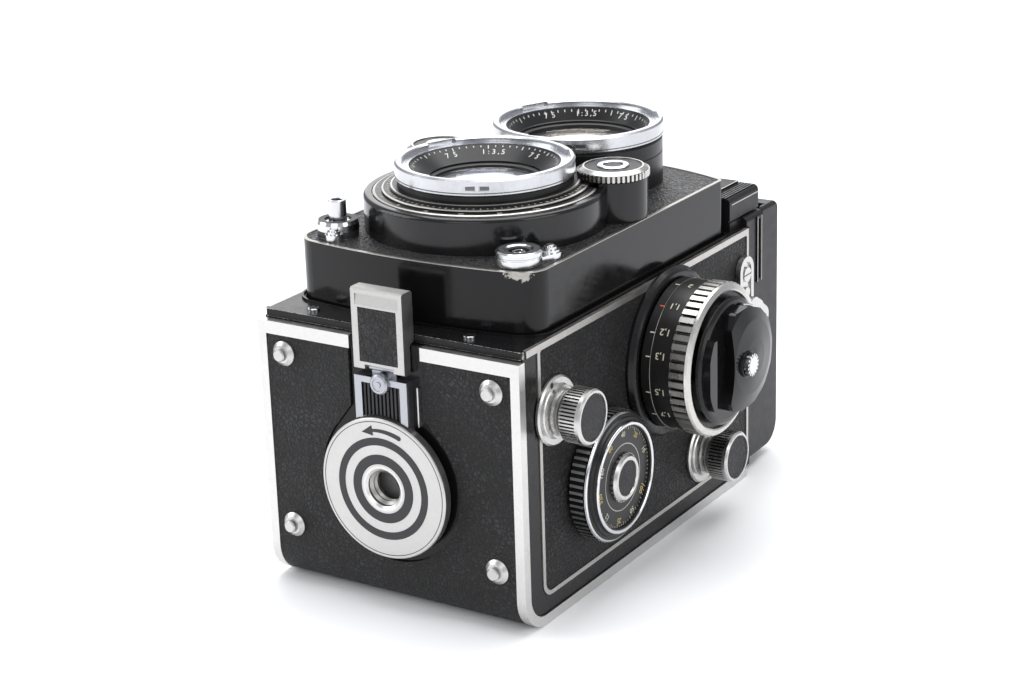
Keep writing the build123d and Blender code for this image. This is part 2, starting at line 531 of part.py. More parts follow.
def bayonet(y, flip):
    b = revz(0, y, [(19.5, RING_Z0), (RING_R - 0.5, RING_Z0), (RING_R, RING_Z0 + 0.5), (RING_R, RING_Z1 - 0.5), (RING_R - 0.5, RING_Z1), (21.5, RING_Z1), (21.2, RING_Z1 - 0.3),
                    (21.2, 105.0), (20.6, 104.9), (19.5, 104.9)])
    # bayonet entry slots inside the rim and a milled slot with its stop outside
    for a in (35, 155, 275):
        q = Rot(0, 0, a) * box(20.0, 21.9, -4.2, 4.2, 105.2, 110)
        b -= Pos(0, y, 0) * q
    for a in (-62, 118):
        q = Rot(0, 0, a) * box(22.85, 24, -3.6, 3.6, 103.3, 104.7)
        b -= Pos(0, y, 0) * q
    q = Rot(0, 0, -62) * box(22.7, 23.15, -0.35, 0.35, 103.3, 104.7)
    b += Pos(0, y, 0) * q
    return b


out("taking_bayonet", bayonet(0, False))
out("viewing_bayonet", bayonet(VIEW_Y, True))


def front_glass(y, r, z, rs, thick):
    s = (Pos(0, y, z + 1.4 - rs) * Sphere(rs)) & cylz(0, y, r, z - thick, z + 5)
    return s


out("taking_lens", front_glass(0, 14.6, 100.2, 60, 2.6))
out("viewing_lens", front_glass(VIEW_Y, 16.6, 100.0, 70, 2.6))

# shutter release: ringed base with a stepped pivot, hollow push post
rx, ry = RELEASE
rb = revz(rx, ry, [(2.42, 89.2), (5.2, 89.2), (5.2, 90.9), (5.35, 91.0), (5.35, 92.6), (5.0, 93.5), (4.3, 93.5), (4.1, 93.1), (3.3, 92.9), (3.1, 93.2), (2.42, 93.2)])
px, py = rx + 2.3, ry - 5.0
rb += cylz(px, py, 2.3, 89.2, 91.0) + cylz(px, py, 1.7, 91.0, 91.7) + cylz(px, py, 1.1, 91.7, 92.3)
rb -= cylz(rx, ry, 2.42, 80, 92.9)
rb -= cylz(rx, ry, 3.2, 93.0, 96)
out("release_base", rb)
rp = revz(rx, ry, [(0, 91.8), (2.33, 91.8), (2.33, 98.3), (2.15, 98.5), (1.6, 98.5), (1.45, 98.3), (1.45, 93.4), (0, 93.4)])
out("release_button", rp)

# flash socket with cover plate and pivot
fx, fy = FLASH
qx, qy = FLASH_PIVOT
fs = revz(fx, fy, [(0, 89.2), (5.6, 89.2), (5.75, 89.4), (5.75, 91.0), (5.55, 91.15), (5.55, 91.5), (5.75, 91.65), (5.75, 92.6), (5.3, 93.0), (3.6, 93.0), (3.2, 92.7), (3.2, 90.4), (0, 90.4)])
dx, dy = qx - fx, qy - fy
dn = math.hypot(dx, dy)
nx, ny = -dy / dn, dx / dn
fs += prismz([(fx + nx * 4.6, fy + ny * 4.6), (qx + nx * 2.6, qy + ny * 2.6), (qx - nx * 2.6, qy - ny * 2.6), (fx - nx * 4.6, fy - ny * 4.6)], 89.2, 90.9) - cylz(fx, fy, 5.5, 80, 100)
fs += cylz(qx, qy, 2.75, 89.2, 90.9) + cylz(qx, qy, 2.3, 90.9, 91.5) + cylz(qx, qy, 1.6, 91.5, 92.2) + cylz(qx, qy, 0.9, 92.2, 92.7)
out("flash_socket", fs)

# setting wheels on the turrets
def wheel(s):
    x = s * WHEEL_X
    w = gearz(x, WHEEL_Y, WHEEL_R, WHEEL_R - 0.45, 46, 100.1, 101.7, 0.5)
    w += revz(x, WHEEL_Y, [(0, 100.0), (8.5, 100.0), (8.6, 101.0), (8.6, 101.7), (9.0, 101.7), (9.0, 101.85), (7.9, 102.6), (7.5, 102.6), (7.5, 102.25), (0, 102.25)])
    w += cylz(x, WHEEL_Y, 3.0, 93.3, 100.2)
    return w


out("aperture_wheel", wheel(-1))
out("speed_wheel", wheel(1))

# ---------------------------------------------------------------------------
# right side: spool knobs, film-speed dial, focusing knob with meter head
# ---------------------------------------------------------------------------
def knob_base(c):
    b = revx(c[0], c[1], [(3.07, 38.5), (5.7, 38.5), (5.7, 38.7), (8.85, 38.7), (8.85, 39.3), (8.4, 39.75), (7.0, 39.75), (6.7, 40.0), (6.7, 41.3), (6.3, 41.4), (5.9, 41.4), (5.9, 42.5), (5.6, 42.7), (3.07, 42.7)])
    for a in (20, 200):
        dyy, dzz = 7.75 * math.cos(math.radians(a + 90)), 7.75 * math.sin(math.radians(a + 90))
        b -= cylx(c[0] + dyy, c[1] + dzz, 0.75, 39.3, 41)
    return b


out("spool_knob_bases", knob_base(KNOB_LO) + knob_base(KNOB_HI), 2)


def plunger(c):
    return cylx(c[0], c[1], 3.0, 31.5, 43.2) + cylx(c[0], c[1], 2.0, 43.0, 46.0) + cylx(c[0], c[1], 1.85, 24.0, 31.6)


out("spool_plunger_lower", plunger(KNOB_LO))
out("spool_plunger_upper", plunger(KNOB_HI))


def spool_knob(c):
    k = gearx(c[0], c[1], 7.0, 6.65, 48, 44.0, 48.4, 0.5)
    k += revx(c[0], c[1], [(0, 43.3), (6.1, 43.3), (6.7, 43.7), (6.7, 44.2), (6.5, 44.2), (6.5, 48.2), (7.0, 48.3), (7.0, 49.2), (6.6, 49.7), (6.05, 49.7), (6.0, 49.3), (0, 49.3)])
    k -= cylx(c[0], c[1], 2.06, 40, 46.1)
    return k


out("spool_knob_lower", spool_knob(KNOB_LO))
out("spool_knob_upper", spool_knob(KNOB_HI))

# take-up spool for roll film
sp = revx(KNOB_HI[0], KNOB_HI[1], [(3.3, -32.3), (12.4, -32.3), (12.4, -31.3), (6.0, -31.3), (6.0, 31.3), (12.4, 31.3), (12.4, 32.3), (3.3, 32.3), (3.3, 26.5), (2.0, 26.5), (2.0, -26.5), (3.3, -26.5)])
sp -= box(-26.6, -21.8, KNOB_HI[0] - 0.95, KNOB_HI[0] + 0.95, KNOB_HI[1] - 2.8, KNOB_HI[1] + 2.8)
sp -= box(-22, 22, KNOB_HI[0] - 0.6, KNOB_HI[0] + 0.6, KNOB_HI[1], KNOB_HI[1] + 8)
out("takeup_spool", sp)

# film-speed dial: ribbed rim, stepped ring, recessed face, petal knob
dl = gearx(DIAL[0], DIAL[1], 17.0, 16.4, 60, 39.3, 43.2, 0.5)
dl += revx(DIAL[0], DIAL[1], [(0, 38.7), (15.6, 38.7), (16.4, 39.3), (16.4, 43.2), (16.9, 43.3), (16.9, 43.7), (16.2, 44.2), (15.6, 44.3), (15.4, 44.9), (14.7, 45.0), (14.5, 45.7), (14.2, 45.9),
                                      (13.7, 45.9), (13.2, 45.5), (13.2, 44.9), (0, 44.9)])
dl += cylx(DIAL[0], DIAL[1], 2.5, 34.6, 39.0)
dl -= cylx(DIAL[0], DIAL[1], 1.56, 40.0, 50)
out("film_speed_dial", dl)
pt = gearx(DIAL[0], DIAL[1], 6.4, 5.95, 28, 45.0, 45.6, 0.6)
pt += revx(DIAL[0], DIAL[1], [(0, 45.0), (5.9, 45.0), (5.9, 45.6), (6.2, 45.7), (5.6, 46.4), (4.7, 46.4), (4.6, 46.1), (0, 46.1)])
pt += cylx(DIAL[0], DIAL[1], 1.5, 40.4, 45.2)
out("film_speed_knob", pt)

# focusing knob: fixed collar with post, black scale drum, fluted ring, meter head
FY, FZ = FOCUS
collar = revx(FY, FZ, [(0, 38.5), (22.8, 38.5), (22.8, 39.3), (22.0, 40.4), (21.3, 40.8), (20.5, 40.9), (20.5, 40.6), (7.0, 40.6), (7.0, 55.9), (0, 55.9)])
collar -= box(38.0, 38.75, -39.5, 73, 71.4, 80)
out("focus_collar", collar)
drum = revx(FY, FZ, [(7.08, 41.2), (19.6, 41.2), (20.0, 41.5), (20.0, 44.0), (19.85, 44.1), (19.85, 49.6), (17.9, 49.6), (17.9, 54.2), (16.2, 54.2), (16.2, 50.5), (7.08, 50.5)])
out("focus_drum", drum)
fring = gearx(FY, FZ, 20.4, 19.6, 52, 49.7, 53.9, 0.62)
fring += revx(FY, FZ, [(18.0, 49.6), (19.6, 49.6), (19.6, 53.9), (20.3, 54.0), (20.0, 54.6), (18.6, 55.1), (18.2, 54.9), (18.0, 54.3)])
fring -= cylx(FY, FZ, 17.9, 40, 60)
out("focus_ring", fring)

mh = revx(FY, FZ, [(0, 55.9), (7.0, 55.9), (7.0, 55.2), (15.9, 55.2), (16.9, 55.6), (16.9, 56.3), (16.2, 56.9), (15.4, 57.1), (0, 57.1)])
# egg-shaped domed cap beside a deep slot
CAP = [(20.2, 42.5), (20.2, 62.5), (23.4, 65.9), (29.5, 66.4), (36.0, 64.2), (40.6, 60.0), (42.6, 54.0), (42.0, 47.6), (38.6, 42.4), (33.0, 39.3), (26.5, 38.6), (22.0, 39.7)]


def egg(off, x0, x1):
    cy, cz = 30.5, 52.5
    pts = []
    for y, z in CAP:
        d = math.hypot(y - cy, z - cz)
        k = (d - off) / d
        pts.append((x0, cy + (y - cy) * k, cz + (z - cz) * k))
    w = Polyline(pts, close=True)
    f = make_face(w)
    f = fillet(f.vertices(), 1.6)
    return extrude(f, amount=x1 - x0, dir=(1, 0, 0))


cap = egg(0, 57.0, 60.6)
dome_cut = revx(30.5, 52.5, [(0, 56.0), (16.5, 56.0), (16.5, 59.2), (14.0, 60.2), (10.0, 61.2), (5.0, 61.9), (0, 62.3)])
cap = egg(0, 57.0, 62.3) & dome_cut
mh += cap
# knurled strip on the other side of the slot
strip = box(57.0, 59.2, 10.4, 14.2, 42.6, 61.4) & cylx(FY, FZ, 16.2, 56, 60)
mh += strip
mh += cylx(FY, FZ, 2.9, 61.0, 62.3)
out("meter_head", mh)
star = gearx(FY, FZ, 3.0, 2.35, 16, 62.3, 63.5, 0.5) + cylx(FY, FZ, 2.2, 62.3, 63.6)
out("meter_head_screw", star)

# strap lugs, one each side
def lug():
    p = slot_yz(68.7, 62.3, 68.7, 53.0, 4.05, 38.7, 40.2)
    p -= slot_yz(68.7, 62.3, 68.7, 53.0, 2.5, 39.7, 41)
    p += cylx(68.7, 61.2, 2.1, 39.5, 40.4) + cylx(68.7, 55.9, 1.6, 39.5, 40.3)
    p -= box(40.05, 41, 66.0, 71.4, 61.0, 61.4)
    p += slot_yz(71.5, 50.2, 75.6, 47.4, 3.0, 40.2, 42.0)
    p += slot_yz(70.0, 51.5, 72.5, 50.0, 3.0, 39.4, 42.0)
    p -= cylx(76.0, 47.0, 1.1, 39, 43)
    p += box(38.5, 38.8, 66.5, 71.0, 50.5, 64.5)
    return p


lg = lug()
out("strap_lugs", lg + mirror_x(lg), 2)

# ---------------------------------------------------------------------------
# left side: film advance crank with folding handle, and its two gears
# ---------------------------------------------------------------------------
def involute_gear(y, z, n, turn, x0, x1, lash=0.16):
    r = GEAR_M * n / 2
    rb = r * math.cos(math.radians(20))
    ra, rf = r + 0.95 * GEAR_M, r - 1.2 * GEAR_M
    half = math.pi / (2 * n) - lash / r / 2      # half tooth angle at the pitch circle

    def inv(rr):
        a = math.acos(min(1.0, rb / rr))
        return math.tan(a) - a

    flank = []
    for k in range(7):
        rr = max(rb, rf) + (ra - max(rb, rf)) * k / 6
        flank.append((rr, half + inv(r) - inv(rr)))
    pts = []
    for i in range(n):
        c = turn + 2 * math.pi * i / n
        pts.append((rf, c - flank[0][1]))
        pts += [(rr, c - t) for rr, t in flank]
        pts += [(rr, c + t) for rr, t in reversed(flank)]
        pts.append((rf, c + flank[0][1]))
    return prismx([(y + rr * math.cos(t), z + rr * math.sin(t)) for rr, t in pts], x0, x1)


CY, CZ = CRANK
line = math.atan2(KNOB_HI[1] - CZ, KNOB_HI[0] - CY)
print("gear distance", math.hypot(KNOB_HI[0] - CY, KNOB_HI[1] - CZ), GEAR1_R + GEAR2_R)
cb = revx(CY, CZ, [(3.07, -38.5), (13.0, -38.5), (13.0, -39.4), (12.2, -40.0), (3.07, -40.0)])
out("crank_base", cb)
g1 = involute_gear(CY, CZ, GEAR_N1, line, -37.3, -35.3)
g1 -= cylx(CY, CZ, 3.0, -40, -30)
for k in range(5):
    a = line + 0.3 + 2 * math.pi * k / 5
    g1 -= cylx(CY + 9.6 * math.cos(a), CZ + 9.6 * math.sin(a), 3.0, -40, -30)
out("advance_gear", g1)
g2 = involute_gear(KNOB_HI[0], KNOB_HI[1], GEAR_N2, line + math.pi + math.pi / GEAR_N2, -37.3, -35.3)
g2 += cylx(KNOB_HI[0], KNOB_HI[1], 3.0, -35.4, -29.0)
g2 += cylx(KNOB_HI[0], KNOB_HI[1], 2.6, -29.1, -22.2) & box(-30, -20, KNOB_HI[0] - 0.8, KNOB_HI[0] + 0.8, 0, 60)
out("spool_drive", g2)

AX = -44.9              # axis of the folding handle
AY = CY - 27.0
arm = cylx(CY, CZ, 9.0, -42.6, -40.2) + slot_yz(CY, CZ, AY, CZ, 4.5, -42.6, -40.8)
arm += cylx(CY, CZ, 3.0, -40.3, -33.2)
arm += box(AX - 1.7, -42.5, AY - 1.7, AY + 1.7, CZ - 4.2, CZ - 2.4) + box(AX - 1.7, -42.5, AY - 1.7, AY + 1.7, CZ + 2.4, CZ + 4.2)
arm -= cylz(AX, AY, 0.86, 20, 60)
arm = fillet([e for e in arm.edges() if abs(e.center().X + 42.6) < 1e-3 and abs(e.center().Y - CY) < 9.5 and e.length > 20], 0.5)
out("crank_arm", arm)
hd = cylz(AX, AY, 0.8, CZ - 4.2, CZ + 4.2) + cylz(AX, AY, 1.5, CZ - 2.3, CZ + 2.3)
w = Polyline([(0, 0, 0), (1.0, 0, 0), (1.0, 0, 2.2), (2.2, 0, 3.2), (1.75, 0, 8.0), (2.2, 0, 15.0), (1.8, 0, 16.2), (0, 0, 16.4)], close=True)
hd += Pos(AX, AY, CZ) * Rot(-90, 0, 0) * revolve(make_face(w), Axis.Z, 360)
out("crank_handle", hd)
print("nodes", len([f for f in os.listdir("parts") if f.endswith(".step")]))
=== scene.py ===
import bpy
import bmesh
import math
import random
from mathutils import Vector, Matrix


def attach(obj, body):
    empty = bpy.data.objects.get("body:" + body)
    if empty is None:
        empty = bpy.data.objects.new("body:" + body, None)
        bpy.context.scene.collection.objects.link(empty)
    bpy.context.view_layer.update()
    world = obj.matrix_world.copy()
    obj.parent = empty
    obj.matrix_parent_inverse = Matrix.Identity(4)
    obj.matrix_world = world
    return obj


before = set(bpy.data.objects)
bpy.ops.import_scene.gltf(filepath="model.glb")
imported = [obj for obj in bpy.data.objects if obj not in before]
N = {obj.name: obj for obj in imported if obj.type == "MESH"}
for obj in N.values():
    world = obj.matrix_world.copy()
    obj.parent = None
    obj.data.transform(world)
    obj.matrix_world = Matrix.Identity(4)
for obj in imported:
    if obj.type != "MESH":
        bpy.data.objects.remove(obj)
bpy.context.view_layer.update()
random.seed(7)
MM = 0.001


# ---------------------------------------------------------------------------
# material kit
# ---------------------------------------------------------------------------
class Mat:
    def __init__(self, name):
        self.m = bpy.data.materials.new(name)
        self.m.use_nodes = True
        self.nt = self.m.node_tree
        self.nt.nodes.clear()
        self.out = self.n("ShaderNodeOutputMaterial")
        self.b = self.n("ShaderNodeBsdfPrincipled")
        self.l(self.b.outputs[0], self.out.inputs[0])
        tc = self.n("ShaderNodeTexCoord")
        sc = self.n("ShaderNodeVectorMath", operation="SCALE")
        self.l(tc.outputs["Object"], sc.inputs[0])
        sc.inputs[3].default_value = 1000.0
        self.mm = sc.outputs[0]
        sep = self.n("ShaderNodeSeparateXYZ")
        self.l(self.mm, sep.inputs[0])
        self.x, self.y, self.z = sep.outputs[0], sep.outputs[1], sep.outputs[2]
        self.nrm = None

    def n(self, kind, **k):
        node = self.nt.nodes.new(kind)
        for a, v in k.items():
            setattr(node, a, v)
        return node

    def l(self, a, b):
        self.nt.links.new(a, b)

    def put(self, sock, v):
        if isinstance(v, (int, float)):
            sock.default_value = v
        elif isinstance(v, tuple):
            sock.default_value = v
        else:
            self.l(v, sock)

    def math(self, op, a, b=0.0, c=0.0, clamp=False):
        q = self.n("ShaderNodeMath", operation=op)
        q.use_clamp = clamp
        self.put(q.inputs[0], a)
        self.put(q.inputs[1], b)
        self.put(q.inputs[2], c)
        return q.outputs[0]

    def vec(self, x, y, z):
        q = self.n("ShaderNodeCombineXYZ")
        for i, v in enumerate((x, y, z)):
            self.put(q.inputs[i], v)
        return q.outputs[0]

    def stretch(self, sx, sy, sz, src=None):
        q = self.n("ShaderNodeVectorMath", operation="MULTIPLY")
        self.l(src or self.mm, q.inputs[0])
        q.inputs[1].default_value = (sx, sy, sz)
        return q.outputs[0]

    def noise(self, scale, detail=3.0, rough=0.5, vec=None, distort=0.0):
        q = self.n("ShaderNodeTexNoise")
        self.l(vec or self.mm, q.inputs["Vector"])
        q.inputs["Scale"].default_value = scale
        q.inputs["Detail"].default_value = detail
        q.inputs["Roughness"].default_value = rough
        q.inputs["Distortion"].default_value = distort
        return q.outputs[0]

    def voronoi(self, scale, feature="F1", vec=None, rand=1.0, smooth=0.3):
        q = self.n("ShaderNodeTexVoronoi")
        q.feature = feature
        self.l(vec or self.mm, q.inputs["Vector"])
        q.inputs["Scale"].default_value = scale
        q.inputs["Randomness"].default_value = rand
        if feature == "SMOOTH_F1":
            q.inputs["Smoothness"].default_value = smooth
        return q.outputs["Distance"]

    def remap(self, v, a, b, c=0.0, d=1.0, smooth=False):
        q = self.n("ShaderNodeMapRange")
        if smooth:
            q.interpolation_type = "SMOOTHSTEP"
        self.put(q.inputs[0], v)
        for i, t in enumerate((a, b, c, d)):
            q.inputs[i + 1].default_value = t
        return q.outputs[0]

    def mix(self, f, a, b):
        q = self.n("ShaderNodeMix", data_type="RGBA")
        self.put(q.inputs[0], f)
        for s, v in ((q.inputs[6], a), (q.inputs[7], b)):
            if isinstance(v, tuple):
                s.default_value = (v[0], v[1], v[2], 1.0)
            else:
                self.l(v, s)
        return q.outputs[2]

    def lerp(self, f, a, b):
        q = self.n("ShaderNodeMix", data_type="FLOAT")
        self.put(q.inputs[0], f)
        self.put(q.inputs[2], a)
        self.put(q.inputs[3], b)
        return q.outputs[0]

    def bump(self, height, dist=0.1, strength=1.0):
        """height in the range 0..1 stands for dist millimetres"""
        q = self.n("ShaderNodeBump")
        q.inputs["Strength"].default_value = strength
        q.inputs["Distance"].default_value = dist * MM
        self.l(height, q.inputs["Height"])
        if self.nrm is not None:
            self.l(self.nrm, q.inputs["Normal"])
        self.nrm = q.outputs[0]
        return self.nrm

    def radius(self, axis, c):
        """distance from a line along axis through c (the other two coordinates, mm)"""
        a, b = {"x": (self.y, self.z), "y": (self.x, self.z), "z": (self.x, self.y)}[axis]
        da = self.math("SUBTRACT", a, c[0])
        db = self.math("SUBTRACT", b, c[1])
        return self.math("SQRT", self.math("ADD", self.math("MULTIPLY", da, da), self.math("MULTIPLY", db, db)))

    def done(self, color=None, rough=None, metal=None):
        if color is not None:
            if isinstance(color, tuple):
                self.b.inputs["Base Color"].default_value = (color[0], color[1], color[2], 1)
            else:
                self.l(color, self.b.inputs["Base Color"])
        if rough is not None:
            self.put(self.b.inputs["Roughness"], rough)
        if metal is not None:
            self.put(self.b.inputs["Metallic"], metal)
        if self.nrm is not None:
            self.l(self.nrm, self.b.inputs["Normal"])
        return self.m


def leather(name, cell=1.15, depth=0.14, base=0.008, top=0.040, rough=0.46, wrinkle=0.0, seed=(0, 0, 0), spec=0.30):
    m = Mat(name)
    off = m.n("ShaderNodeVectorMath", operation="ADD")
    m.l(m.mm, off.inputs[0])
    off.inputs[1].default_value = seed
    warp = m.n("ShaderNodeTexNoise")
    m.l(off.outputs[0], warp.inputs["Vector"])
    warp.inputs["Scale"].default_value = 0.9 / cell
    warp.inputs["Detail"].default_value = 3.0
    add = m.n("ShaderNodeVectorMath", operation="MULTIPLY_ADD")
    m.l(warp.outputs[1], add.inputs[0])
    add.inputs[1].default_value = (cell * 1.1,) * 3
    m.l(off.outputs[0], add.inputs[2])
    v = add.outputs[0]
    cells = m.voronoi(1.0 / cell, "DISTANCE_TO_EDGE", v)
    pebble = m.remap(cells, 0.0, 0.26, 0.0, 1.0, True)
    small = m.remap(m.voronoi(2.3 / cell, "DISTANCE_TO_EDGE", v), 0.0, 0.22, 0.0, 1.0, True)
    big = m.voronoi(0.40 / cell, "DISTANCE_TO_EDGE", v)
    folds = m.remap(big, 0.0, 0.14, 0.0, 1.0, True)
    fine = m.noise(6.0 / cell, 3.0, 0.6)
    h = m.math("ADD", m.math("MULTIPLY", pebble, 0.50), m.math("MULTIPLY", folds, 0.20 + wrinkle))
    h = m.math("ADD", h, m.math("MULTIPLY", small, 0.20))
    h = m.math("ADD", h, m.math("MULTIPLY", fine, 0.12))
    m.bump(h, depth * 1.7)
    worn = m.remap(m.noise(0.09, 4.0, 0.6), 0.42, 0.66)
    tops = m.math("MULTIPLY", m.remap(h, 0.50, 1.0), m.lerp(worn, 0.35, 1.0))
    col = m.mix(tops, (base, base, base * 1.04), (top, top, top * 1.05))
    r = m.math("ADD", m.lerp(tops, rough, rough - 0.14), m.math("MULTIPLY", m.noise(0.5, 3), 0.08))
    m.b.inputs["Specular IOR Level"].default_value = spec
    return m.done(col, r, 0.0)


def enamel(name, base=0.010, rough=0.20, orange=0.006, dust=0.4, wear=None, bare=(0.50, 0.485, 0.46), spec=0.26):
    """black stove enamel; wear(m) gives an optional 0..1 mask of bare metal"""
    m = Mat(name)
    n1 = m.noise(0.35, 4.0, 0.6)
    n2 = m.noise(3.0, 3.0, 0.55)
    specks = m.remap(m.voronoi(0.55, "F1", rand=1.0), 0.0, 0.07, 1.0, 0.0)
    sel = m.math("GREATER_THAN", m.noise(1.7, 1.0, 0.5), 0.56)
    specks = m.math("MULTIPLY", specks, sel)
    scr = m.noise(1.0, 2.0, 0.5, m.stretch(0.25, 4.0, 4.0))
    scr = m.remap(scr, 0.66, 0.70)
    r = m.math("ADD", rough, m.math("MULTIPLY", m.remap(n1, 0.35, 0.7), 0.10))
    r = m.math("ADD", r, m.math("MULTIPLY", scr, 0.05))
    col = m.mix(m.math("MULTIPLY", specks, dust), (base, base, base * 1.08), (0.11, 0.105, 0.10))
    m.bump(n2, orange)
    metal = 0.0
    if wear is not None:
        k = wear(m)
        edge = m.noise(2.6, 5.0, 0.75)
        k = m.remap(m.math("ADD", k, m.math("MULTIPLY", m.math("SUBTRACT", edge, 0.5), 0.9)), 0.50, 0.58)
        dirt = m.mix(m.noise(1.5, 4.0, 0.7), bare, (bare[0] * 0.55, bare[1] * 0.52, bare[2] * 0.48))
        col = m.mix(k, col, dirt)
        r = m.lerp(k, r, 0.34)
        metal = k
    m.b.inputs["Specular IOR Level"].default_value = spec
    return m.done(col, r, metal)


def silver(name, base=(0.70, 0.695, 0.68), rough=0.27, grain=None, grain_depth=0.004, dirt=0.35, spots=0.0, tone=0.10, groove=None, rust=0.0):
    """satin plated metal.  grain: ('x'|'y'|'z', c) rings about an axis, or (sx, sy, sz) stretched noise; groove(m)
    gives a mask of painted shade for flute and knurl valleys
    """
    m = Mat(name)
    if grain is None:
        g = m.noise(6.0, 3.0, 0.6)
    elif isinstance(grain[0], str):
        rad = m.radius(grain[0], grain[1])
        g = m.noise(9.0, 4.0, 0.75, m.vec(rad, 0.0, 0.0))
    else:
        g = m.noise(6.0, 4.0, 0.7, m.stretch(*grain))
    m.bump(g, grain_depth)
    cloud = m.noise(0.22, 4.0, 0.6)
    smear = m.remap(m.noise(0.9, 5.0, 0.65), 0.45, 0.75)
    d = m.math("MULTIPLY", smear, dirt)
    c = m.mix(d, base, tuple(v * 0.72 for v in base))
    c = m.mix(m.math("MULTIPLY", m.remap(g, 0.35, 0.65), tone), c, tuple(v * 0.6 for v in base))
    if spots > 0:
        sp = m.remap(m.voronoi(0.8, "F1"), 0.03, 0.12, 1.0, 0.0)
        sp = m.math("MULTIPLY", sp, m.math("GREATER_THAN", m.noise(0.6, 2.0), 0.5))
        c = m.mix(m.math("MULTIPLY", sp, spots), c, (0.16, 0.13, 0.10))
    if rust > 0:
        ru = m.remap(m.noise(1.3, 4.0, 0.7), 0.60, 0.72)
        c = m.mix(m.math("MULTIPLY", ru, rust), c, (0.20, 0.09, 0.03))
    # painted shade: the groove mask darkens flute and knurl valleys towards near-black metal
    if groove is not None:
        c = m.mix(groove(m), c, (0.030, 0.028, 0.026))
    r = m.math("ADD", rough, m.math("MULTIPLY", m.remap(cloud, 0.3, 0.7), 0.09))
    return m.done(c, r, 1.0)


def lines_x(m, at, half):
    """1 within half of a coordinate"""
    return m.remap(m.math("ABSOLUTE", m.math("SUBTRACT", at[0], at[1])), half * 0.6, half, 1.0, 0.0)


# wear masks -----------------------------------------------------------------
def corner_wear(m):
    """paint rubbed off the box edge under the flash socket, and along the rim"""
    dx = m.math("SUBTRACT", m.x, 31.5)
    dy = m.math("SUBTRACT", m.y, -34.6)
    dz = m.math("SUBTRACT", m.z, 88.9)
    d = m.math("SQRT", m.math("ADD", m.math("ADD", m.math("MULTIPLY", m.math("MULTIPLY", dx, dx), 0.35), m.math("MULTIPLY", m.math("MULTIPLY", dy, dy), 0.5)), m.math("MULTIPLY", m.math("MULTIPLY", dz, dz), 1.2)))
    chips = m.noise(0.75, 3.0, 0.6)
    a = m.math("ADD", m.remap(d, 0.6, 3.6, 0.9, 0.0), m.math("MULTIPLY", m.math("SUBTRACT", chips, 0.5), 1.2))
    a = m.math("MULTIPLY", a, m.remap(d, 3.6, 4.4, 1.0, 0.0))
    rim = m.remap(m.z, 89.02, 89.18, 0.0, 0.95)
    return m.math("MAXIMUM", a, rim)


def flange_wear(m):
    near = m.remap(m.math("ABSOLUTE", m.math("ADD", m.y, 45.35)), 0.04, 0.30, 1.0, 0.0)
    zt = m.remap(m.math("ABSOLUTE", m.math("SUBTRACT", m.z, 73.3)), 0.04, 0.30, 1.0, 0.0)
    zb = m.remap(m.math("ABSOLUTE", m.math("SUBTRACT", m.z, 71.3)), 0.04, 0.30, 1.0, 0.0)
    e = m.math("MULTIPLY", near, m.math("MAXIMUM", zt, zb))
    cx = m.remap(m.math("ABSOLUTE", m.x), 36.9, 38.2, 0.0, 0.55)
    cy = m.remap(m.y, -43.4, -44.6, 0.0, 1.0)
    return m.math("ADD", m.math("MULTIPLY", e, 0.55), m.math("MULTIPLY", cx, cy))


MAT = {}
MAT["door_leather"] = leather("door_leather_mat", 1.15, 0.20, 0.007, 0.042, 0.46)
MAT["side_leather"] = leather("side_leather_mat", 1.2, 0.20, 0.007, 0.044, 0.44, seed=(31, 7, 3), spec=0.24)
MAT["clasp_leather"] = leather("clasp_leather_mat", 1.3, 0.22, 0.006, 0.045, 0.40, 0.2, seed=(5, 3, 9))
MAT["top_leather"] = leather("top_leather_mat", 1.3, 0.42, 0.006, 0.040, 0.38, 0.3, seed=(2, 11, 5), spec=0.45)
MAT["knob_leather"] = leather("knob_leather_mat", 0.55, 0.07, 0.030, 0.085, 0.60, seed=(9, 1, 4))
MAT["box"] = enamel("box_enamel", 0.005, 0.11, 0.002, 0.2, corner_wear)
MAT["flange"] = enamel("flange_enamel", 0.006, 0.22, 0.006, 0.6, flange_wear)
MAT["enamel"] = enamel("body_enamel", 0.006, 0.20, 0.005, 0.35)
MAT["gloss"] = enamel("gloss_enamel", 0.004, 0.08, 0.002, 0.2, None, (0.5, 0.485, 0.46), 0.3)
MAT["recess"] = enamel("recess_enamel", 0.005, 0.14, 0.004, 0.5)
MAT["hood"] = enamel("hood_enamel", 0.009, 0.32, 0.007, 0.25)
MAT["housing"] = enamel("housing_enamel", 0.007, 0.12, 0.0015, 0.2, None, (0.5, 0.485, 0.46), 0.4)
MAT["satin_black"] = enamel("satin_black", 0.009, 0.40, 0.008, 0.3)


def knob_groove(m):
    """painted shade: dark colour between the flutes of the two spool knobs, darker deeper in the valleys"""
    def one(c):
        return m.math("MULTIPLY", m.remap(m.radius("x", c), 6.80, 6.92, 1.0, 0.0), m.math("LESS_THAN", m.radius("x", c), 7.4))
    band_ = m.math("MULTIPLY", m.math("GREATER_THAN", m.x, 44.15), m.math("LESS_THAN", m.x, 48.25))
    return m.math("MULTIPLY", m.math("MAXIMUM", one((-31.9, 54.6)), one((44.4, 17.4))), band_)


def flute_valley_shade(m):
    # painted shade: darkens the focus ring between its flutes, darker deeper in the valleys
    band_ = m.math("MULTIPLY", m.math("GREATER_THAN", m.x, 49.75), m.math("LESS_THAN", m.x, 53.92))
    return m.math("MULTIPLY", m.remap(m.radius("x", (26.0, 52.0)), 19.85, 20.2, 0.85, 0.0), band_)


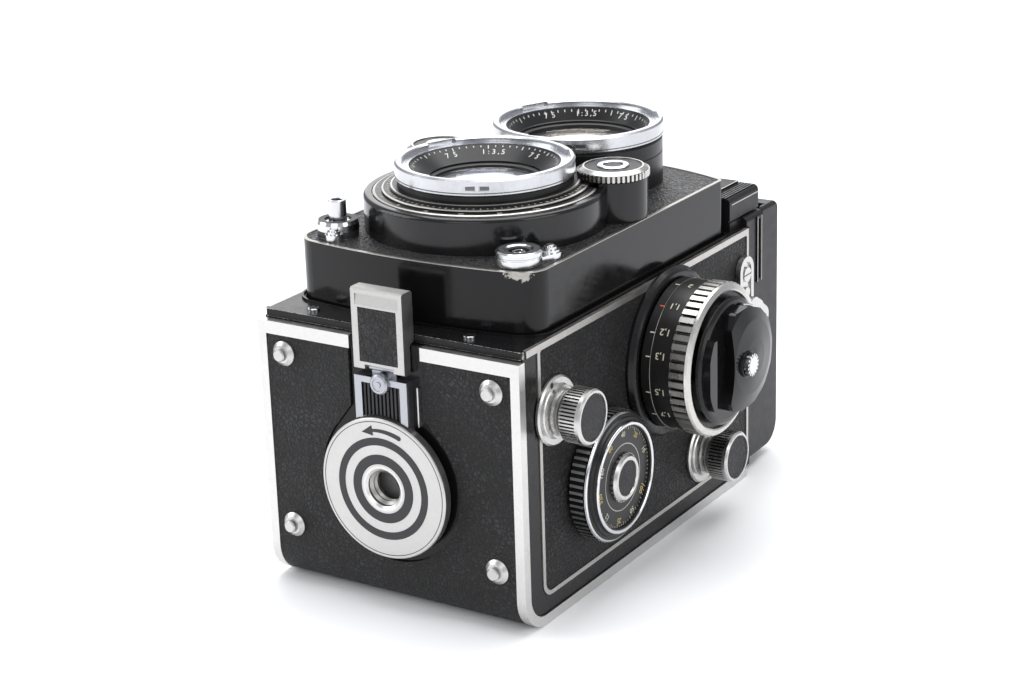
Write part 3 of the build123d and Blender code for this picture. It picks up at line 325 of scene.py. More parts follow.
def wheel_knurl_shade(m):
    # painted shade: darkens the knurl valleys of the aperture and speed wheels, darker deeper in
    ax = m.math("SUBTRACT", m.math("ABSOLUTE", m.x), 26.6)
    ay = m.math("SUBTRACT", m.y, 19.4)
    rad = m.math("SQRT", m.math("ADD", m.math("MULTIPLY", ax, ax), m.math("MULTIPLY", ay, ay)))
    return m.math("MULTIPLY", m.remap(rad, 9.0, 9.25, 0.9, 0.0), m.math("LESS_THAN", m.z, 101.68))


MAT["trim"] = silver("trim_silver", (0.66, 0.655, 0.64), 0.27, None, 0.003, 0.25, 0.25)
MAT["thin_trim"] = silver("thin_trim_silver", (0.50, 0.485, 0.46), 0.32, None, 0.004, 0.45, 0.3)
MAT["disc"] = silver("disc_brushed", (0.56, 0.555, 0.54), 0.33, (1.0, 1.0, 9.0), 0.004, 0.20, 0.2, 0.14)
MAT["clasp"] = silver("clasp_silver", (0.52, 0.515, 0.50), 0.32, (9.0, 1.0, 0.6), 0.004, 0.35, 0.3, 0.22)
MAT["slide"] = silver("slide_silver", (0.42, 0.43, 0.46), 0.28, None, 0.003, 0.2)
MAT["chrome"] = silver("bright_chrome", (0.66, 0.665, 0.675), 0.12, None, 0.0015, 0.25, 0.1, 0.05)
MAT["bayonet"] = silver("bayonet_chrome", (0.58, 0.59, 0.61), 0.20, ("z", (0.0, 0.0)), 0.003, 0.35, 0.2, 0.12)
MAT["feet"] = silver("feet_steel", (0.56, 0.555, 0.54), 0.28, None, 0.005, 0.3, 0.2)
MAT["flutes"] = silver("flute_silver", (0.58, 0.57, 0.545), 0.24, None, 0.005, 0.4, 0.1, 0.10, flute_valley_shade, 0.25)
MAT["knob"] = silver("knob_silver", (0.58, 0.575, 0.56), 0.24, None, 0.004, 0.4, 0.25, 0.10, knob_groove)
MAT["brass"] = silver("gear_brass", (0.72, 0.52, 0.22), 0.30, None, 0.004, 0.3)
MAT["mirror"] = silver("mirror_silver", (0.86, 0.87, 0.88), 0.03, None, 0.0002, 0.05, 0.0, 0.0)


def anodised(name, base=0.018, rough=0.33, axis=None, c=(0, 0), depth=0.004):
    m = Mat(name)
    if axis:
        g = m.noise(7.0, 4.0, 0.7, m.vec(m.radius(axis, c), 0.0, 0.0))
    else:
        g = m.noise(5.0, 3.0, 0.6)
    m.bump(g, depth)
    d = m.remap(m.noise(1.1, 5.0, 0.7), 0.50, 0.78)
    col = m.mix(m.math("MULTIPLY", d, 0.5), (base, base, base * 1.05), (base * 2.6, base * 2.6, base * 2.7))
    r = m.math("ADD", rough, m.math("MULTIPLY", m.noise(0.4, 3.0), 0.12))
    m.b.inputs["Specular IOR Level"].default_value = 0.32
    return m.done(col, r, 0.0)


MAT["barrel"] = anodised("barrel_black", 0.009, 0.27)
MAT["drum"] = anodised("drum_black", 0.008, 0.30)
MAT["name_ring"] = anodised("name_ring_black", 0.014, 0.36)
MAT["dial_face"] = anodised("dial_face_black", 0.009, 0.32)
MAT["plastic"] = anodised("spool_plastic", 0.02, 0.40)


def plain(name, color, rough, metal=0.0, n=3.0, amount=0.15):
    m = Mat(name)
    k = m.math("MULTIPLY", m.remap(m.noise(n, 4.0, 0.6), 0.35, 0.7), amount)
    col = m.mix(k, color, tuple(v * 0.5 for v in color))
    m.bump(m.noise(n * 3.0, 2.0), 0.003)
    return m.done(col, rough, metal)


MAT["black_paint"] = plain("black_fill", (0.020, 0.020, 0.022), 0.5)
MAT["rib_black"] = plain("rib_black", (0.010, 0.010, 0.011), 0.38)
MAT["ivory"] = plain("ivory_fill", (0.62, 0.58, 0.46), 0.5)
MAT["white_fill"] = plain("white_fill", (0.70, 0.70, 0.68), 0.5)
MAT["amber"] = plain("amber_fill", (0.55, 0.42, 0.16), 0.5)
MAT["red_fill"] = plain("red_fill", (0.60, 0.10, 0.03), 0.5)
MAT["copper"] = plain("rubbed_copper", (0.45, 0.20, 0.08), 0.4, 0.7)


def ring_gear_mat(name, axis, c, r_split, silver_base=(0.72, 0.71, 0.69)):
    """bright above a radius, black below it"""
    m = Mat(name)
    rad = m.radius(axis, c)
    k = m.math("GREATER_THAN", rad, r_split)
    col = m.mix(k, (0.012, 0.012, 0.013), silver_base)
    m.bump(m.noise(6.0, 3.0), 0.004)
    return m.done(col, m.lerp(k, 0.38, 0.26), k)


def glass_mat(name, tint, rough=0.0, ior=1.8, coat=0.0):
    m = Mat(name)
    smear = m.remap(m.noise(0.35, 4.0, 0.6), 0.45, 0.8)
    m.b.inputs["Transmission Weight"].default_value = 1.0
    m.b.inputs["IOR"].default_value = ior
    r = m.math("ADD", rough, m.math("MULTIPLY", smear, 0.015))
    return m.done(tint, r, 0.0)


MAT["lens"] = glass_mat("coated_glass", (0.92, 0.94, 0.96), 0.01, 1.9)
MAT["magnifier"] = glass_mat("magnifier_glass", (0.97, 0.98, 0.97), 0.0, 1.5)


def ground_glass(name):
    m = Mat(name)
    gx = m.math("ABSOLUTE", m.math("SUBTRACT", m.math("FRACT", m.math("DIVIDE", m.x, 9.0)), 0.5))
    gz = m.math("ABSOLUTE", m.math("SUBTRACT", m.math("FRACT", m.math("DIVIDE", m.z, 9.0)), 0.5))
    k = m.math("LESS_THAN", m.math("MINIMUM", gx, gz), 0.012)
    col = m.mix(k, (0.55, 0.56, 0.54), (0.08, 0.08, 0.08))
    m.bump(m.noise(18.0, 2.0), 0.01)
    m.b.inputs["Transmission Weight"].default_value = 0.35
    return m.done(col, 0.45, 0.0)


MAT["ground"] = ground_glass("ground_glass")


# ---------------------------------------------------------------------------
# mesh kit
# ---------------------------------------------------------------------------
def make(name, verts, faces, mat, body, smooth=30.0):
    me = bpy.data.meshes.new(name)
    me.from_pydata([tuple(c * MM for c in v) for v in verts], [], faces)
    me.validate()
    bm = bmesh.new()
    bm.from_mesh(me)
    bmesh.ops.remove_doubles(bm, verts=bm.verts, dist=1e-7)
    bmesh.ops.recalc_face_normals(bm, faces=bm.faces)
    bm.to_mesh(me)
    bm.free()
    for p in me.polygons:
        p.use_smooth = True
    me.set_sharp_from_angle(angle=math.radians(smooth))
    me.materials.append(mat)
    ob = bpy.data.objects.new(name, me)
    bpy.context.scene.collection.objects.link(ob)
    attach(ob, body)
    return ob


def on_axis(axis, c, r, a, h):
    ca, sa = r * math.cos(a), r * math.sin(a)
    if axis == "z":
        return (c[0] + ca, c[1] + sa, h)
    if axis == "x":
        return (h, c[0] + ca, c[1] + sa)
    return (c[0] + ca, h, c[1] + sa)


def lathe(name, prof, axis, c, mat, body, n=96, closed=True, smooth=30.0, wobble=None):
    """prof: (radius, height) points.  wobble(a, r, h) may return a new radius"""
    verts, faces = [], []
    k = len(prof)
    for i in range(n):
        a = 2 * math.pi * i / n
        for r, h in prof:
            rr = wobble(a, r, h) if wobble else r
            verts.append(on_axis(axis, c, rr, a, h))
    for i in range(n):
        j = (i + 1) % n
        for p in range(k if closed else k - 1):
            q = (p + 1) % k
            faces.append((i * k + p, j * k + p, j * k + q, i * k + q))
    return make(name, verts, faces, mat, body, smooth)


def boxes(name, items, mat, body, smooth=30.0):
    """items: list of 8-corner boxes"""
    verts, faces = [], []
    for cs in items:
        b = len(verts)
        verts += cs
        for f in ((0, 1, 3, 2), (4, 6, 7, 5), (0, 4, 5, 1), (2, 3, 7, 6), (0, 2, 6, 4), (1, 5, 7, 3)):
            faces.append(tuple(b + i for i in f))
    return make(name, verts, faces, mat, body, smooth)


def polar_box(axis, c, r0, r1, a0, a1, h0, h1):
    return [on_axis(axis, c, r, a, h) for r in (r0, r1) for a in (a0, a1) for h in (h0, h1)]


def plain_box(x0, x1, y0, y1, z0, z1):
    return [(x, y, z) for x in (x0, x1) for y in (y0, y1) for z in (z0, z1)]


def prism(name, pts, plane, h0, h1, mat, body, smooth=30.0):
    """closed polygon pts in a plane ('xy', 'xz' or 'yz'), extruded from h0 to h1"""
    def at(p, h):
        return {"xy": (p[0], p[1], h), "xz": (p[0], h, p[1]), "yz": (h, p[0], p[1])}[plane]
    n = len(pts)
    verts = [at(p, h0) for p in pts] + [at(p, h1) for p in pts]
    faces = [tuple(range(n)), tuple(range(n, 2 * n))]
    for i in range(n):
        j = (i + 1) % n
        faces.append((i, j, n + j, n + i))
    return make(name, verts, faces, mat, body, smooth)


def tube(name, path, r, mat, body, n=10, closed=False):
    """a round bead along a list of points"""
    verts, faces = [], []
    P = [Vector(p) for p in path]
    m = len(P)
    for i, p in enumerate(P):
        a = P[(i - 1) % m] if (closed or i > 0) else p
        b = P[(i + 1) % m] if (closed or i < m - 1) else p
        t = (b - a).normalized()
        u = t.cross(Vector((0, 0, 1)))
        if u.length < 0.05:
            u = t.cross(Vector((0, 1, 0)))
        u.normalize()
        w = t.cross(u).normalized()
        for k in range(n):
            g = 2 * math.pi * k / n
            verts.append(tuple(p + (u * math.cos(g) + w * math.sin(g)) * r))
    for i in range(m if closed else m - 1):
        j = (i + 1) % m
        for k in range(n):
            q = (k + 1) % n
            faces.append((i * n + k, j * n + k, j * n + q, i * n + q))
    if not closed:
        faces.append(tuple(range(n)))
        faces.append(tuple((m - 1) * n + k for k in range(n)))
    return make(name, verts, faces, mat, body, 50.0)


def text(name, s, size, origin, right, up, mat, body, lift=0.05, depth=0.03):
    """flat raised figures: origin, right and up in mm, row frame"""
    cu = bpy.data.curves.new(name + "_src", "FONT")
    cu.body = s
    cu.size = size
    cu.align_x = "CENTER"
    cu.align_y = "CENTER"
    cu.extrude = depth / 2
    cu.resolution_u = 3
    tmp = bpy.data.objects.new(name + "_src", cu)
    bpy.context.scene.collection.objects.link(tmp)
    bpy.context.view_layer.update()
    me = bpy.data.meshes.new_from_object(tmp)
    bpy.data.objects.remove(tmp)
    R = Vector(right).normalized()
    U = Vector(up).normalized()
    F = R.cross(U)
    O = Vector(origin)
    for v in me.vertices:
        v.co = (O + R * v.co.x + U * v.co.y + F * (v.co.z + lift)) * MM
    me.name = name
    me.materials.clear()
    me.materials.append(mat)
    ob = bpy.data.objects.new(name, me)
    bpy.context.scene.collection.objects.link(ob)
    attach(ob, body)
    return ob


def skin(node, mat, bevel=0.0, seg=2, angle=35.0):
    ob = N[node]
    ob.data.materials.clear()
    ob.data.materials.append(mat)
    if bevel > 0:
        w = ob.modifiers.new("weld", "WELD")
        w.merge_threshold = 2e-6
        b = ob.modifiers.new("bevel", "BEVEL")
        b.width = bevel * MM
        b.segments = seg
        b.limit_method = "ANGLE"
        b.angle_limit = math.radians(angle)
        b.use_clamp_overlap = True
        b.harden_normals = False
    return ob


# ---------------------------------------------------------------------------
# finishes of the machined parts
# ---------------------------------------------------------------------------
MAT["wheel"] = silver("wheel_silver", (0.60, 0.59, 0.57), 0.22, None, 0.004, 0.45, 0.2, 0.10, wheel_knurl_shade)
for node, key in {
    "body_casting": "enamel", "front_flange": "flange", "flange_screws": "chrome", "side_trims": "thin_trim",
    "side_leather_right": "side_leather", "side_leather_left": "side_leather", "reflex_mirror": "mirror",
    "focusing_screen": "ground", "meter_block": "hood", "nameplate": "satin_black", "hood_frame": "hood",
    "strap_lugs": "knob", "spool_knob_bases": "knob", "focus_collar": "enamel", "meter_head": "gloss",
    "meter_head_screw": "chrome", "crank_base": "knob", "lens_board_box": "box", "lens_board_leather": "top_leather",
    "shutter_housing": "housing", "taking_barrel": "barrel", "viewing_barrel": "barrel", "taking_bayonet": "bayonet",
    "viewing_bayonet": "bayonet", "taking_lens": "lens", "viewing_lens": "lens", "release_base": "chrome",
    "flash_socket": "chrome", "release_button": "chrome", "aperture_wheel": "wheel", "speed_wheel": "wheel",
    "focus_drum": "drum", "focus_ring": "flutes", "film_speed_dial": "dial_face", "film_speed_knob": "knob",
    "spool_plunger_lower": "knob", "spool_plunger_upper": "knob", "spool_knob_lower": "knob", "spool_knob_upper": "knob",
    "takeup_spool": "plastic", "spool_drive": "brass", "crank_arm": "knob", "advance_gear": "brass", "crank_handle": "knob",
    "door_shell": "recess", "door_trim": "trim", "door_leather": "door_leather", "door_feet": "feet",
    "pressure_plate": "satin_black", "lock_disc": "disc", "lock_slide": "slide", "lock_slide_insert": "rib_black",
    "clasp_frame": "clasp", "clasp_leather": "clasp_leather", "hood_lid": "hood", "hood_panel_right": "satin_black",
    "hood_panel_left": "satin_black", "hood_panel_rear": "satin_black", "magnifier_frame": "satin_black", "magnifier_lens": "magnifier",
}.items():
    skin(node, MAT[key])

# ---------------------------------------------------------------------------
# camera, floor and light
# ---------------------------------------------------------------------------
cam_data = bpy.data.cameras.new("camera")
cam_data.sensor_fit = "HORIZONTAL"
cam_data.sensor_width = 36.0
cam_data.lens = 2320.15 / 1024.0 * 36.0
cam_data.clip_start = 0.01
cam_data.clip_end = 20.0
cam = bpy.data.objects.new("camera", cam_data)
bpy.context.scene.collection.objects.link(cam)
az, el, roll = math.radians(32.762), math.radians(18.889), math.radians(-1.817)
back = Vector((math.sin(az) * math.cos(el), -math.cos(az) * math.cos(el), math.sin(el)))
right = Vector((math.cos(az), math.sin(az), 0.0))
up = back.cross(right)
r2 = right * math.cos(roll) + up * math.sin(roll)
u2 = -right * math.sin(roll) + up * math.cos(roll)
rot = Matrix((r2, u2, back)).transposed().to_4x4()
rot.translation = Vector((0.3160, -0.4809, 0.2532))
cam.matrix_world = rot
bpy.context.scene.camera = cam


def floor_piece():
    s = 6.0
    verts = [(-s, -s, 0.0), (s, -s, 0.0), (s, s, 0.0), (-s, s, 0.0)]
    me = bpy.data.meshes.new("floor")
    me.from_pydata(verts, [], [(0, 1, 2, 3)])
    m = Mat("floor_paper")
    m.bump(m.noise(1.2, 3.0), 0.01)
    m.b.inputs["Specular IOR Level"].default_value = 0.2
    me.materials.append(m.done((0.90, 0.90, 0.91), 0.55, 0.0))
    ob = bpy.data.objects.new("floor", me)
    ob.location = (0, 0, -0.00012)
    bpy.context.scene.collection.objects.link(ob)


floor_piece()


def area(name, loc, target, size, power, color=(1, 1, 1), size_y=None):
    li = bpy.data.lights.new(name, "AREA")
    li.energy = power
    li.color = color
    li.size = size
    if size_y:
        li.shape = "RECTANGLE"
        li.size_y = size_y
    ob = bpy.data.objects.new(name, li)
    bpy.context.scene.collection.objects.link(ob)
    d = Vector(target) - Vector(loc)
    ob.rotation_euler = d.to_track_quat("-Z", "Y").to_euler()
    ob.location = loc
    return ob


world = bpy.data.worlds.new("world")
bpy.context.scene.world = world
world.use_nodes = True
bg = world.node_tree.nodes["Background"]
bg.inputs[0].default_value = (0.93, 0.95, 1.0, 1)
bg.inputs[1].default_value = 0.55
area("top_softbox", (-0.05, 0.25, 1.05), (0, 0, 0.05), 1.1, 15.0)
area("left_softbox", (-0.95, -0.55, 0.55), (0, 0, 0.05), 0.8, 6.0)
area("right_softbox", (0.95, -0.1, 0.45), (0.0, 0.0, 0.05), 0.6, 2.6)
area("front_fill", (0.25, -1.1, 0.5), (0, 0, 0.04), 0.7, 2.4)
area("back_softbox", (-0.85, 1.3, 0.6), (0, 0, 0.1), 1.0, 5.0)
sc = bpy.context.scene
sc.view_settings.view_transform = "Standard"
sc.view_settings.look = "None"
sc.view_settings.exposure = 0.0

# ---------------------------------------------------------------------------
# painted rings, arrow and thread of the tripod disc
# ---------------------------------------------------------------------------
def band(name, axis, c, r0, r1, h, out_dir, mat, body, t=0.05, n=120):
    """thin painted ring lying on a flat face; out_dir is the sign of the outward axis"""
    a, b = h - out_dir * 0.02, h + out_dir * t
    return lathe(name, [(r0, a), (r1, a), (r1, b), (r0, b)], axis, c, mat, body, n, True, 30.0, None)


DC = (0.0, 33.3)
band("disc_band_outer", "y", DC, 11.46, 13.45, -51.0, -1, MAT["black_paint"], "tripod_disc")
band("disc_band_inner", "y", DC, 6.5, 9.03, -51.0, -1, MAT["black_paint"], "tripod_disc")
band("disc_line_outer", "y", DC, 17.55, 17.75, -51.0, -1, MAT["black_paint"], "tripod_disc", 0.03)


def arrow_shape():
    pts = []
    r = 15.35
    a_tail, a_neck, a_tip = math.radians(69.0), math.radians(99.0), math.radians(111.5)
    k = 10
    top, bot = [], []
    for i in range(k + 1):
        t = i / k
        a = a_tail + (a_neck - a_tail) * t
        w = 0.62 - 0.22 * t
        top.append((DC[0] + (r + w) * math.cos(a), DC[1] + (r + w) * math.sin(a)))
        bot.append((DC[0] + (r - w) * math.cos(a), DC[1] + (r - w) * math.sin(a)))
    tail = []
    for i in range(1, 6):
        g = math.pi * i / 6
        cx, cz = DC[0] + r * math.cos(a_tail), DC[1] + r * math.sin(a_tail)
        ur, ut = (math.cos(a_tail), math.sin(a_tail)), (math.sin(a_tail), -math.cos(a_tail))
        tail.append((cx + 0.62 * (-math.cos(g) * ur[0] + math.sin(g) * ut[0]), cz + 0.62 * (-math.cos(g) * ur[1] + math.sin(g) * ut[1])))
    head = [(DC[0] + (r + 1.35) * math.cos(a_neck), DC[1] + (r + 1.35) * math.sin(a_neck)),
            (DC[0] + r * math.cos(a_tip), DC[1] + r * math.sin(a_tip)),
            (DC[0] + (r - 1.35) * math.cos(a_neck), DC[1] + (r - 1.35) * math.sin(a_neck))]
    return top + head + list(reversed(bot)) + tail


prism("disc_arrow", arrow_shape(), "xz", -50.97, -51.06, MAT["black_paint"], "tripod_disc")


def helix_thread(name, c, y0, y1, r_out, depth, pitch, mat, body, n=64):
    """raised V thread running down the wall of a hole along Y"""
    turns = (y1 - y0) / pitch
    steps = int(abs(turns) * n)
    verts, faces = [], []
    for i in range(steps + 1):
        a = 2 * math.pi * i / n
        h = y0 + pitch * i / n
        for r, dh in ((r_out + 0.03, -0.52 * pitch), (r_out - depth, -0.09 * pitch), (r_out - depth, 0.09 * pitch), (r_out + 0.03, 0.52 * pitch)):
            verts.append((c[0] + r * math.cos(a), h + dh, c[1] + r * math.sin(a)))
    for i in range(steps):
        for k in range(3):
            faces.append((i * 4 + k, i * 4 + k + 1, i * 4 + 5 + k, i * 4 + 4 + k))
    return make(name, verts, faces, mat, body, 30.0)


MAT["thread"] = silver("thread_steel", (0.40, 0.39, 0.37), 0.30, None, 0.004, 0.5, 0.4)
helix_thread("socket_thread", DC, -50.0, -46.6, 4.76, 0.75, 1.59, MAT["thread"], "tripod_disc")
lathe("socket_lip", [(4.75, -50.45), (4.75, -50.6), (5.35, -51.03), (5.95, -51.03), (5.95, -50.98), (5.38, -50.98)], "y", DC, MAT["trim"], "tripod_disc", 96)
MAT["socket_floor"] = plain("socket_floor", (0.10, 0.10, 0.098), 0.42, 0.6, 1.5, 0.5)
lathe("socket_floor_disc", [(0.01, -46.24), (4.7, -46.24), (4.7, -46.2), (0.01, -46.2)], "y", DC, MAT["socket_floor"], "tripod_disc", 64)

# bright guide strip beside the latch
boxes("latch_guide", [plain_box(9.35, 9.75, -47.95, -47.0, 50.3, 60.5)], MAT["trim"], "door")

# ---------------------------------------------------------------------------
# focusing scale
# ---------------------------------------------------------------------------
FC = (26.0, 52.0)


def drum_mark(name, s, size, ang, x, mat):
    a = math.radians(ang)
    n = Vector((0.0, math.cos(a), math.sin(a)))
    o = Vector((x, FC[0] + 19.86 * n.y, FC[1] + 19.86 * n.z))
    return text(name, s, size, tuple(o), (-1, 0, 0), (0, -math.sin(a), math.cos(a)), mat, "focus_knob", 0.03, 0.04)


def drum_tick(name, ang, x0, x1, w, mat, r=20.0):
    a, d = math.radians(ang), w / 2 / r
    return boxes(name, [polar_box("x", FC, r - 0.02, r + 0.04, a - d, a + d, x0, x1)], mat, "focus_knob")


for i, (s, ang) in enumerate((("2.5", 72.0), ("2", 97.5), ("1.1", 123.5), ("1.2", 145.5), ("1.3", 163.6), ("1.5", 191.5), ("1.7", 213.5), ("2", 238.0))):
    s = s.replace(".", ",")
    drum_mark("focus_figure_%d" % i, s, 2.55, ang, 46.7, MAT["ivory"])
    drum_tick("focus_tick_%d" % i, ang + 1.6, 42.6, 43.9, 0.30, MAT["red_fill"] if i == 2 else MAT["ivory"])
lathe("drum_step_line", [(20.02, 43.95), (20.05, 43.98), (20.02, 44.01), (19.9, 43.98)], "x", FC, MAT["thin_trim"], "focus_knob", 128)

# edge band, base rings and small dot of the meter head
lathe("meter_head_edge", [(16.15, 56.95), (16.75, 56.45), (16.95, 56.35), (16.95, 56.1), (16.6, 56.2), (16.1, 56.7)], "x", FC, MAT["enamel"], "body", 128)


def cap_edge():
    pts = [(38.6, 42.4), (42.0, 47.6), (42.6, 54.0), (40.6, 60.0), (36.0, 64.2), (29.5, 66.4)]
    out_ = []
    for i in range(len(pts) - 1):
        for k in range(6):
            t = k / 6.0
            p0, p1, p2, p3 = pts[max(i - 1, 0)], pts[i], pts[i + 1], pts[min(i + 2, len(pts) - 1)]
            q = []
            for j in (0, 1):
                q.append(0.5 * (2 * p1[j] + (p2[j] - p0[j]) * t + (2 * p0[j] - 5 * p1[j] + 4 * p2[j] - p3[j]) * t * t + (3 * p1[j] - p0[j] - 3 * p2[j] + p3[j]) * t ** 3))
            out_.append((58.1, q[0] + 0.1 * (q[0] - 30.5) / 12, q[1] + 0.1 * (q[1] - 52.5) / 12))
    return out_


tube("meter_cap_band", cap_edge(), 0.42, MAT["chrome"], "body", 10)
lathe("meter_cap_stud", [(0.01, 61.25), (0.40, 61.22), (0.55, 61.0), (0.55, 60.4), (0.01, 60.4)], "x", (29.6, 61.1), MAT["chrome"], "body", 24)
lathe("meter_screw_ring", [(2.95, 62.05), (3.25, 62.25), (3.55, 62.1), (3.6, 61.4), (2.95, 61.4)], "x", FC, MAT["enamel"], "body", 48)

# ---------------------------------------------------------------------------
# leather and paint on the side controls
# ---------------------------------------------------------------------------
for nm, c in (("lower", (-31.9, 54.6)), ("upper", (44.4, 17.4))):
    lathe("knob_face_" + nm, [(0.01, 49.25), (5.9, 49.25), (5.9, 49.42), (0.01, 49.46)], "x", c, MAT["knob_leather"], "knob_" + nm, 72)
    band("knob_groove_" + nm, "x", c, 6.0, 6.85, 43.9, 1, MAT["black_paint"], "knob_" + nm, 0.05)
    lathe("knob_gap_" + nm, [(6.55, 43.8), (6.8, 43.85), (6.8, 44.0), (6.55, 44.0)], "x", c, MAT["black_paint"], "knob_" + nm, 72)
DL = (-10.0, 30.3)
lathe("dial_bright_ring", [(14.62, 45.2), (14.42, 45.85), (14.22, 45.97), (13.68, 45.97), (13.5, 45.8), (13.7, 45.7), (14.2, 45.75), (14.4, 45.2)], "x", DL, MAT["chrome"], "film_speed", 128)
lathe("dial_step_ring", [(16.95, 43.45), (16.98, 43.6), (16.5, 44.05), (16.3, 44.1), (16.35, 43.95)], "x", DL, MAT["chrome"], "film_speed", 128)
lathe("dial_centre_leather", [(0.01, 46.05), (4.55, 46.05), (4.55, 46.2), (0.01, 46.24)], "x", DL, MAT["knob_leather"], "film_speed_centre", 60)
bars = []
for i in range(60):
    a = 2 * math.pi * (i + 0.44) / 60
    bars.append(polar_box("x", DL, 16.9, 17.05, a - 0.021, a + 0.021, 39.35, 43.2))
boxes("dial_grip_bars", bars, MAT["trim"], "film_speed")


def dial_mark(name, s, size, r, ang, mat):
    a = math.radians(ang)
    o = (44.95, DL[0] + r * math.cos(a), DL[1] + r * math.sin(a))
    return text(name, s, size, o, (0, -math.sin(a), math.cos(a)) if False else (0, math.sin(a), -math.cos(a)), (0, math.cos(a), math.sin(a)), mat, "film_speed", 0.02, 0.04)


for i, s in enumerate(("10", "20", "40", "80", "160", "320", "12", "25", "50", "100")):
    dial_mark("dial_figure_%d" % i, s, 2.0, 11.3, 20 + 34 * i, MAT["amber"] if i % 2 else MAT["ivory"])
ticks = []
for i in range(72):
    a = 2 * math.pi * i / 72
    ticks.append(polar_box("x", DL, 12.6 if i % 3 else 12.2, 13.1, a - 0.005, a + 0.005, 44.88, 44.95))
boxes("dial_ticks", ticks, MAT["ivory"], "film_speed")
band("dial_face_ring", "x", DL, 8.6, 8.8, 44.9, 1, MAT["thin_trim"], "film_speed", 0.04)

# plugs in the knob base dimples
for nm, c in (("lower", (-31.9, 54.6)), ("upper", (44.4, 17.4))):
    for k, a in enumerate((20, 200)):
        y = c[0] + 7.75 * math.cos(math.radians(a + 90))
        z = c[1] + 7.75 * math.sin(math.radians(a + 90))
        lathe("base_dimple_%s_%d" % (nm, k), [(0.01, 39.32), (0.7, 39.32), (0.7, 39.4), (0.01, 39.36)], "x", (y, z), MAT["black_paint"], "body", 20)

# ---------------------------------------------------------------------------
# wheels, release, flash socket
# ---------------------------------------------------------------------------
for nm, sx in (("aperture", -1), ("speed", 1)):
    c = (26.6 * sx, 19.4)
    lathe(nm + "_top_black", [(0.01, 102.22), (7.45, 102.22), (7.45, 102.32), (7.2, 102.36), (0.01, 102.36)], "z", c, MAT["dial_face"], nm, 72)
    lathe(nm + "_top_ring", [(4.2, 102.3), (4.2, 102.62), (3.95, 102.78), (2.75, 102.78), (2.56, 102.66), (2.56, 102.3)], "z", c, MAT["chrome"], nm, 60)
    lathe(nm + "_top_core", [(0.01, 102.3), (2.4, 102.3), (2.4, 102.5), (0.01, 102.55)], "z", c, MAT["black_paint"], nm, 40)
    lathe(nm + "_under", [(8.65, 100.95), (8.95, 101.0), (8.95, 100.1), (8.65, 100.1)], "z", c, MAT["black_paint"], nm, 72)
RX, RY = -27.3, -27.2
lathe("release_dark_ring", [(3.35, 93.0), (3.4, 93.42), (4.2, 93.56), (4.95, 93.54), (5.0, 93.48), (4.3, 93.4)], "z", (RX, RY), MAT["black_paint"], "lens_board", 60)
lathe("release_black_band", [(5.22, 90.9), (5.28, 90.75), (5.28, 89.3), (5.18, 89.25)], "z", (RX, RY), MAT["black_paint"], "lens_board", 60)
FX, FY = 27.3, -28.0
lathe("flash_inner_sleeve", [(3.15, 90.42), (3.15, 92.5), (2.75, 92.6), (2.6, 92.4), (2.6, 90.42)], "z", (FX, FY), MAT["black_paint"], "lens_board", 48)
lathe("flash_centre_tube", [(1.55, 90.42), (1.55, 92.3), (1.4, 92.45), (1.1, 92.45), (1.0, 92.3), (1.0, 90.42)], "z", (FX, FY), MAT["chrome"], "lens_board", 40)
band("flash_groove", "z", (FX, FY), 3.7, 4.9, 93.0, 1, MAT["black_paint"], "lens_board", 0.03, 48)

# ---------------------------------------------------------------------------
# lens mounts: scale rings, marks, inner rings and glass behind the front one
# ---------------------------------------------------------------------------
ticks = []
for i in range(90):
    a = 2 * math.pi * i / 90
    x, y = 25.3 * math.cos(a), 25.3 * math.sin(a)
    if y > 21.5 or math.hypot(abs(x) - 26.6, y - 19.4) < 10.3:
        continue
    long_ = i % 5 == 0
    ticks.append(polar_box("z", (0.0, 0.0), 24.75, 25.9 if long_ else 25.35, a - 0.0045, a + 0.0045, 99.36, 99.44))
boxes("shutter_scale_ticks", ticks, MAT["ivory"], "lens_board")


def clipped_ring(name, prof, mat, keep):
    """ring about the taking axis, kept only where keep(x, y) holds"""
    n = 240
    verts, faces = [], []
    k = len(prof)
    for i in range(n):
        a = 2 * math.pi * i / n
        for r, h in prof:
            verts.append((r * math.cos(a), r * math.sin(a), h))
    run = []
    for i in range(n):
        a = 2 * math.pi * (i + 0.5) / n
        r = prof[0][0]
        ok = keep(r * math.cos(a), r * math.sin(a))
        run.append(ok)
        if ok:
            j = (i + 1) % n
            for p in range(k):
                q = (p + 1) % k
                faces.append((i * k + p, j * k + p, j * k + q, i * k + q))
    for i in range(n):
        if run[i] and not run[i - 1]:
            faces.append(tuple(i * k + p for p in range(k)))
        if run[i - 1] and not run[i]:
            faces.append(tuple(i * k + p for p in reversed(range(k))))
    return make(name, verts, faces, mat, "lens_board")


def free_of_wheels(x, y):
    return y < 22.3 and math.hypot(abs(x) - 26.6, y - 19.4) > 9.75


clipped_ring("shutter_ring_a", [(24.35, 99.98), (24.35, 100.14), (23.9, 100.16), (23.9, 100.0)], MAT["thin_trim"], free_of_wheels)
clipped_ring("shutter_ring_b", [(26.72, 99.2), (26.62, 99.32), (26.2, 99.42), (26.2, 99.3), (26.55, 99.2)], MAT["thin_trim"], free_of_wheels)
clipped_ring("shutter_ring_c", [(28.98, 98.3), (28.98, 98.62), (28.5, 98.8), (28.3, 98.7), (28.7, 98.5)], MAT["thin_trim"], free_of_wheels)
figs = ("2", "4", "8", "15", "30", "60", "125")
for i, s in enumerate(figs):
    a = math.radians(-150 + 20 * i)
    o = (27.45 * math.cos(a), 27.45 * math.sin(a), 98.76)
    text("shutter_figure_%d" % i, s, 1.35, o, (-math.sin(a), math.cos(a), 0), (-math.cos(a), -math.sin(a), 0), MAT["ivory"], "lens_board", 0.02, 0.03)


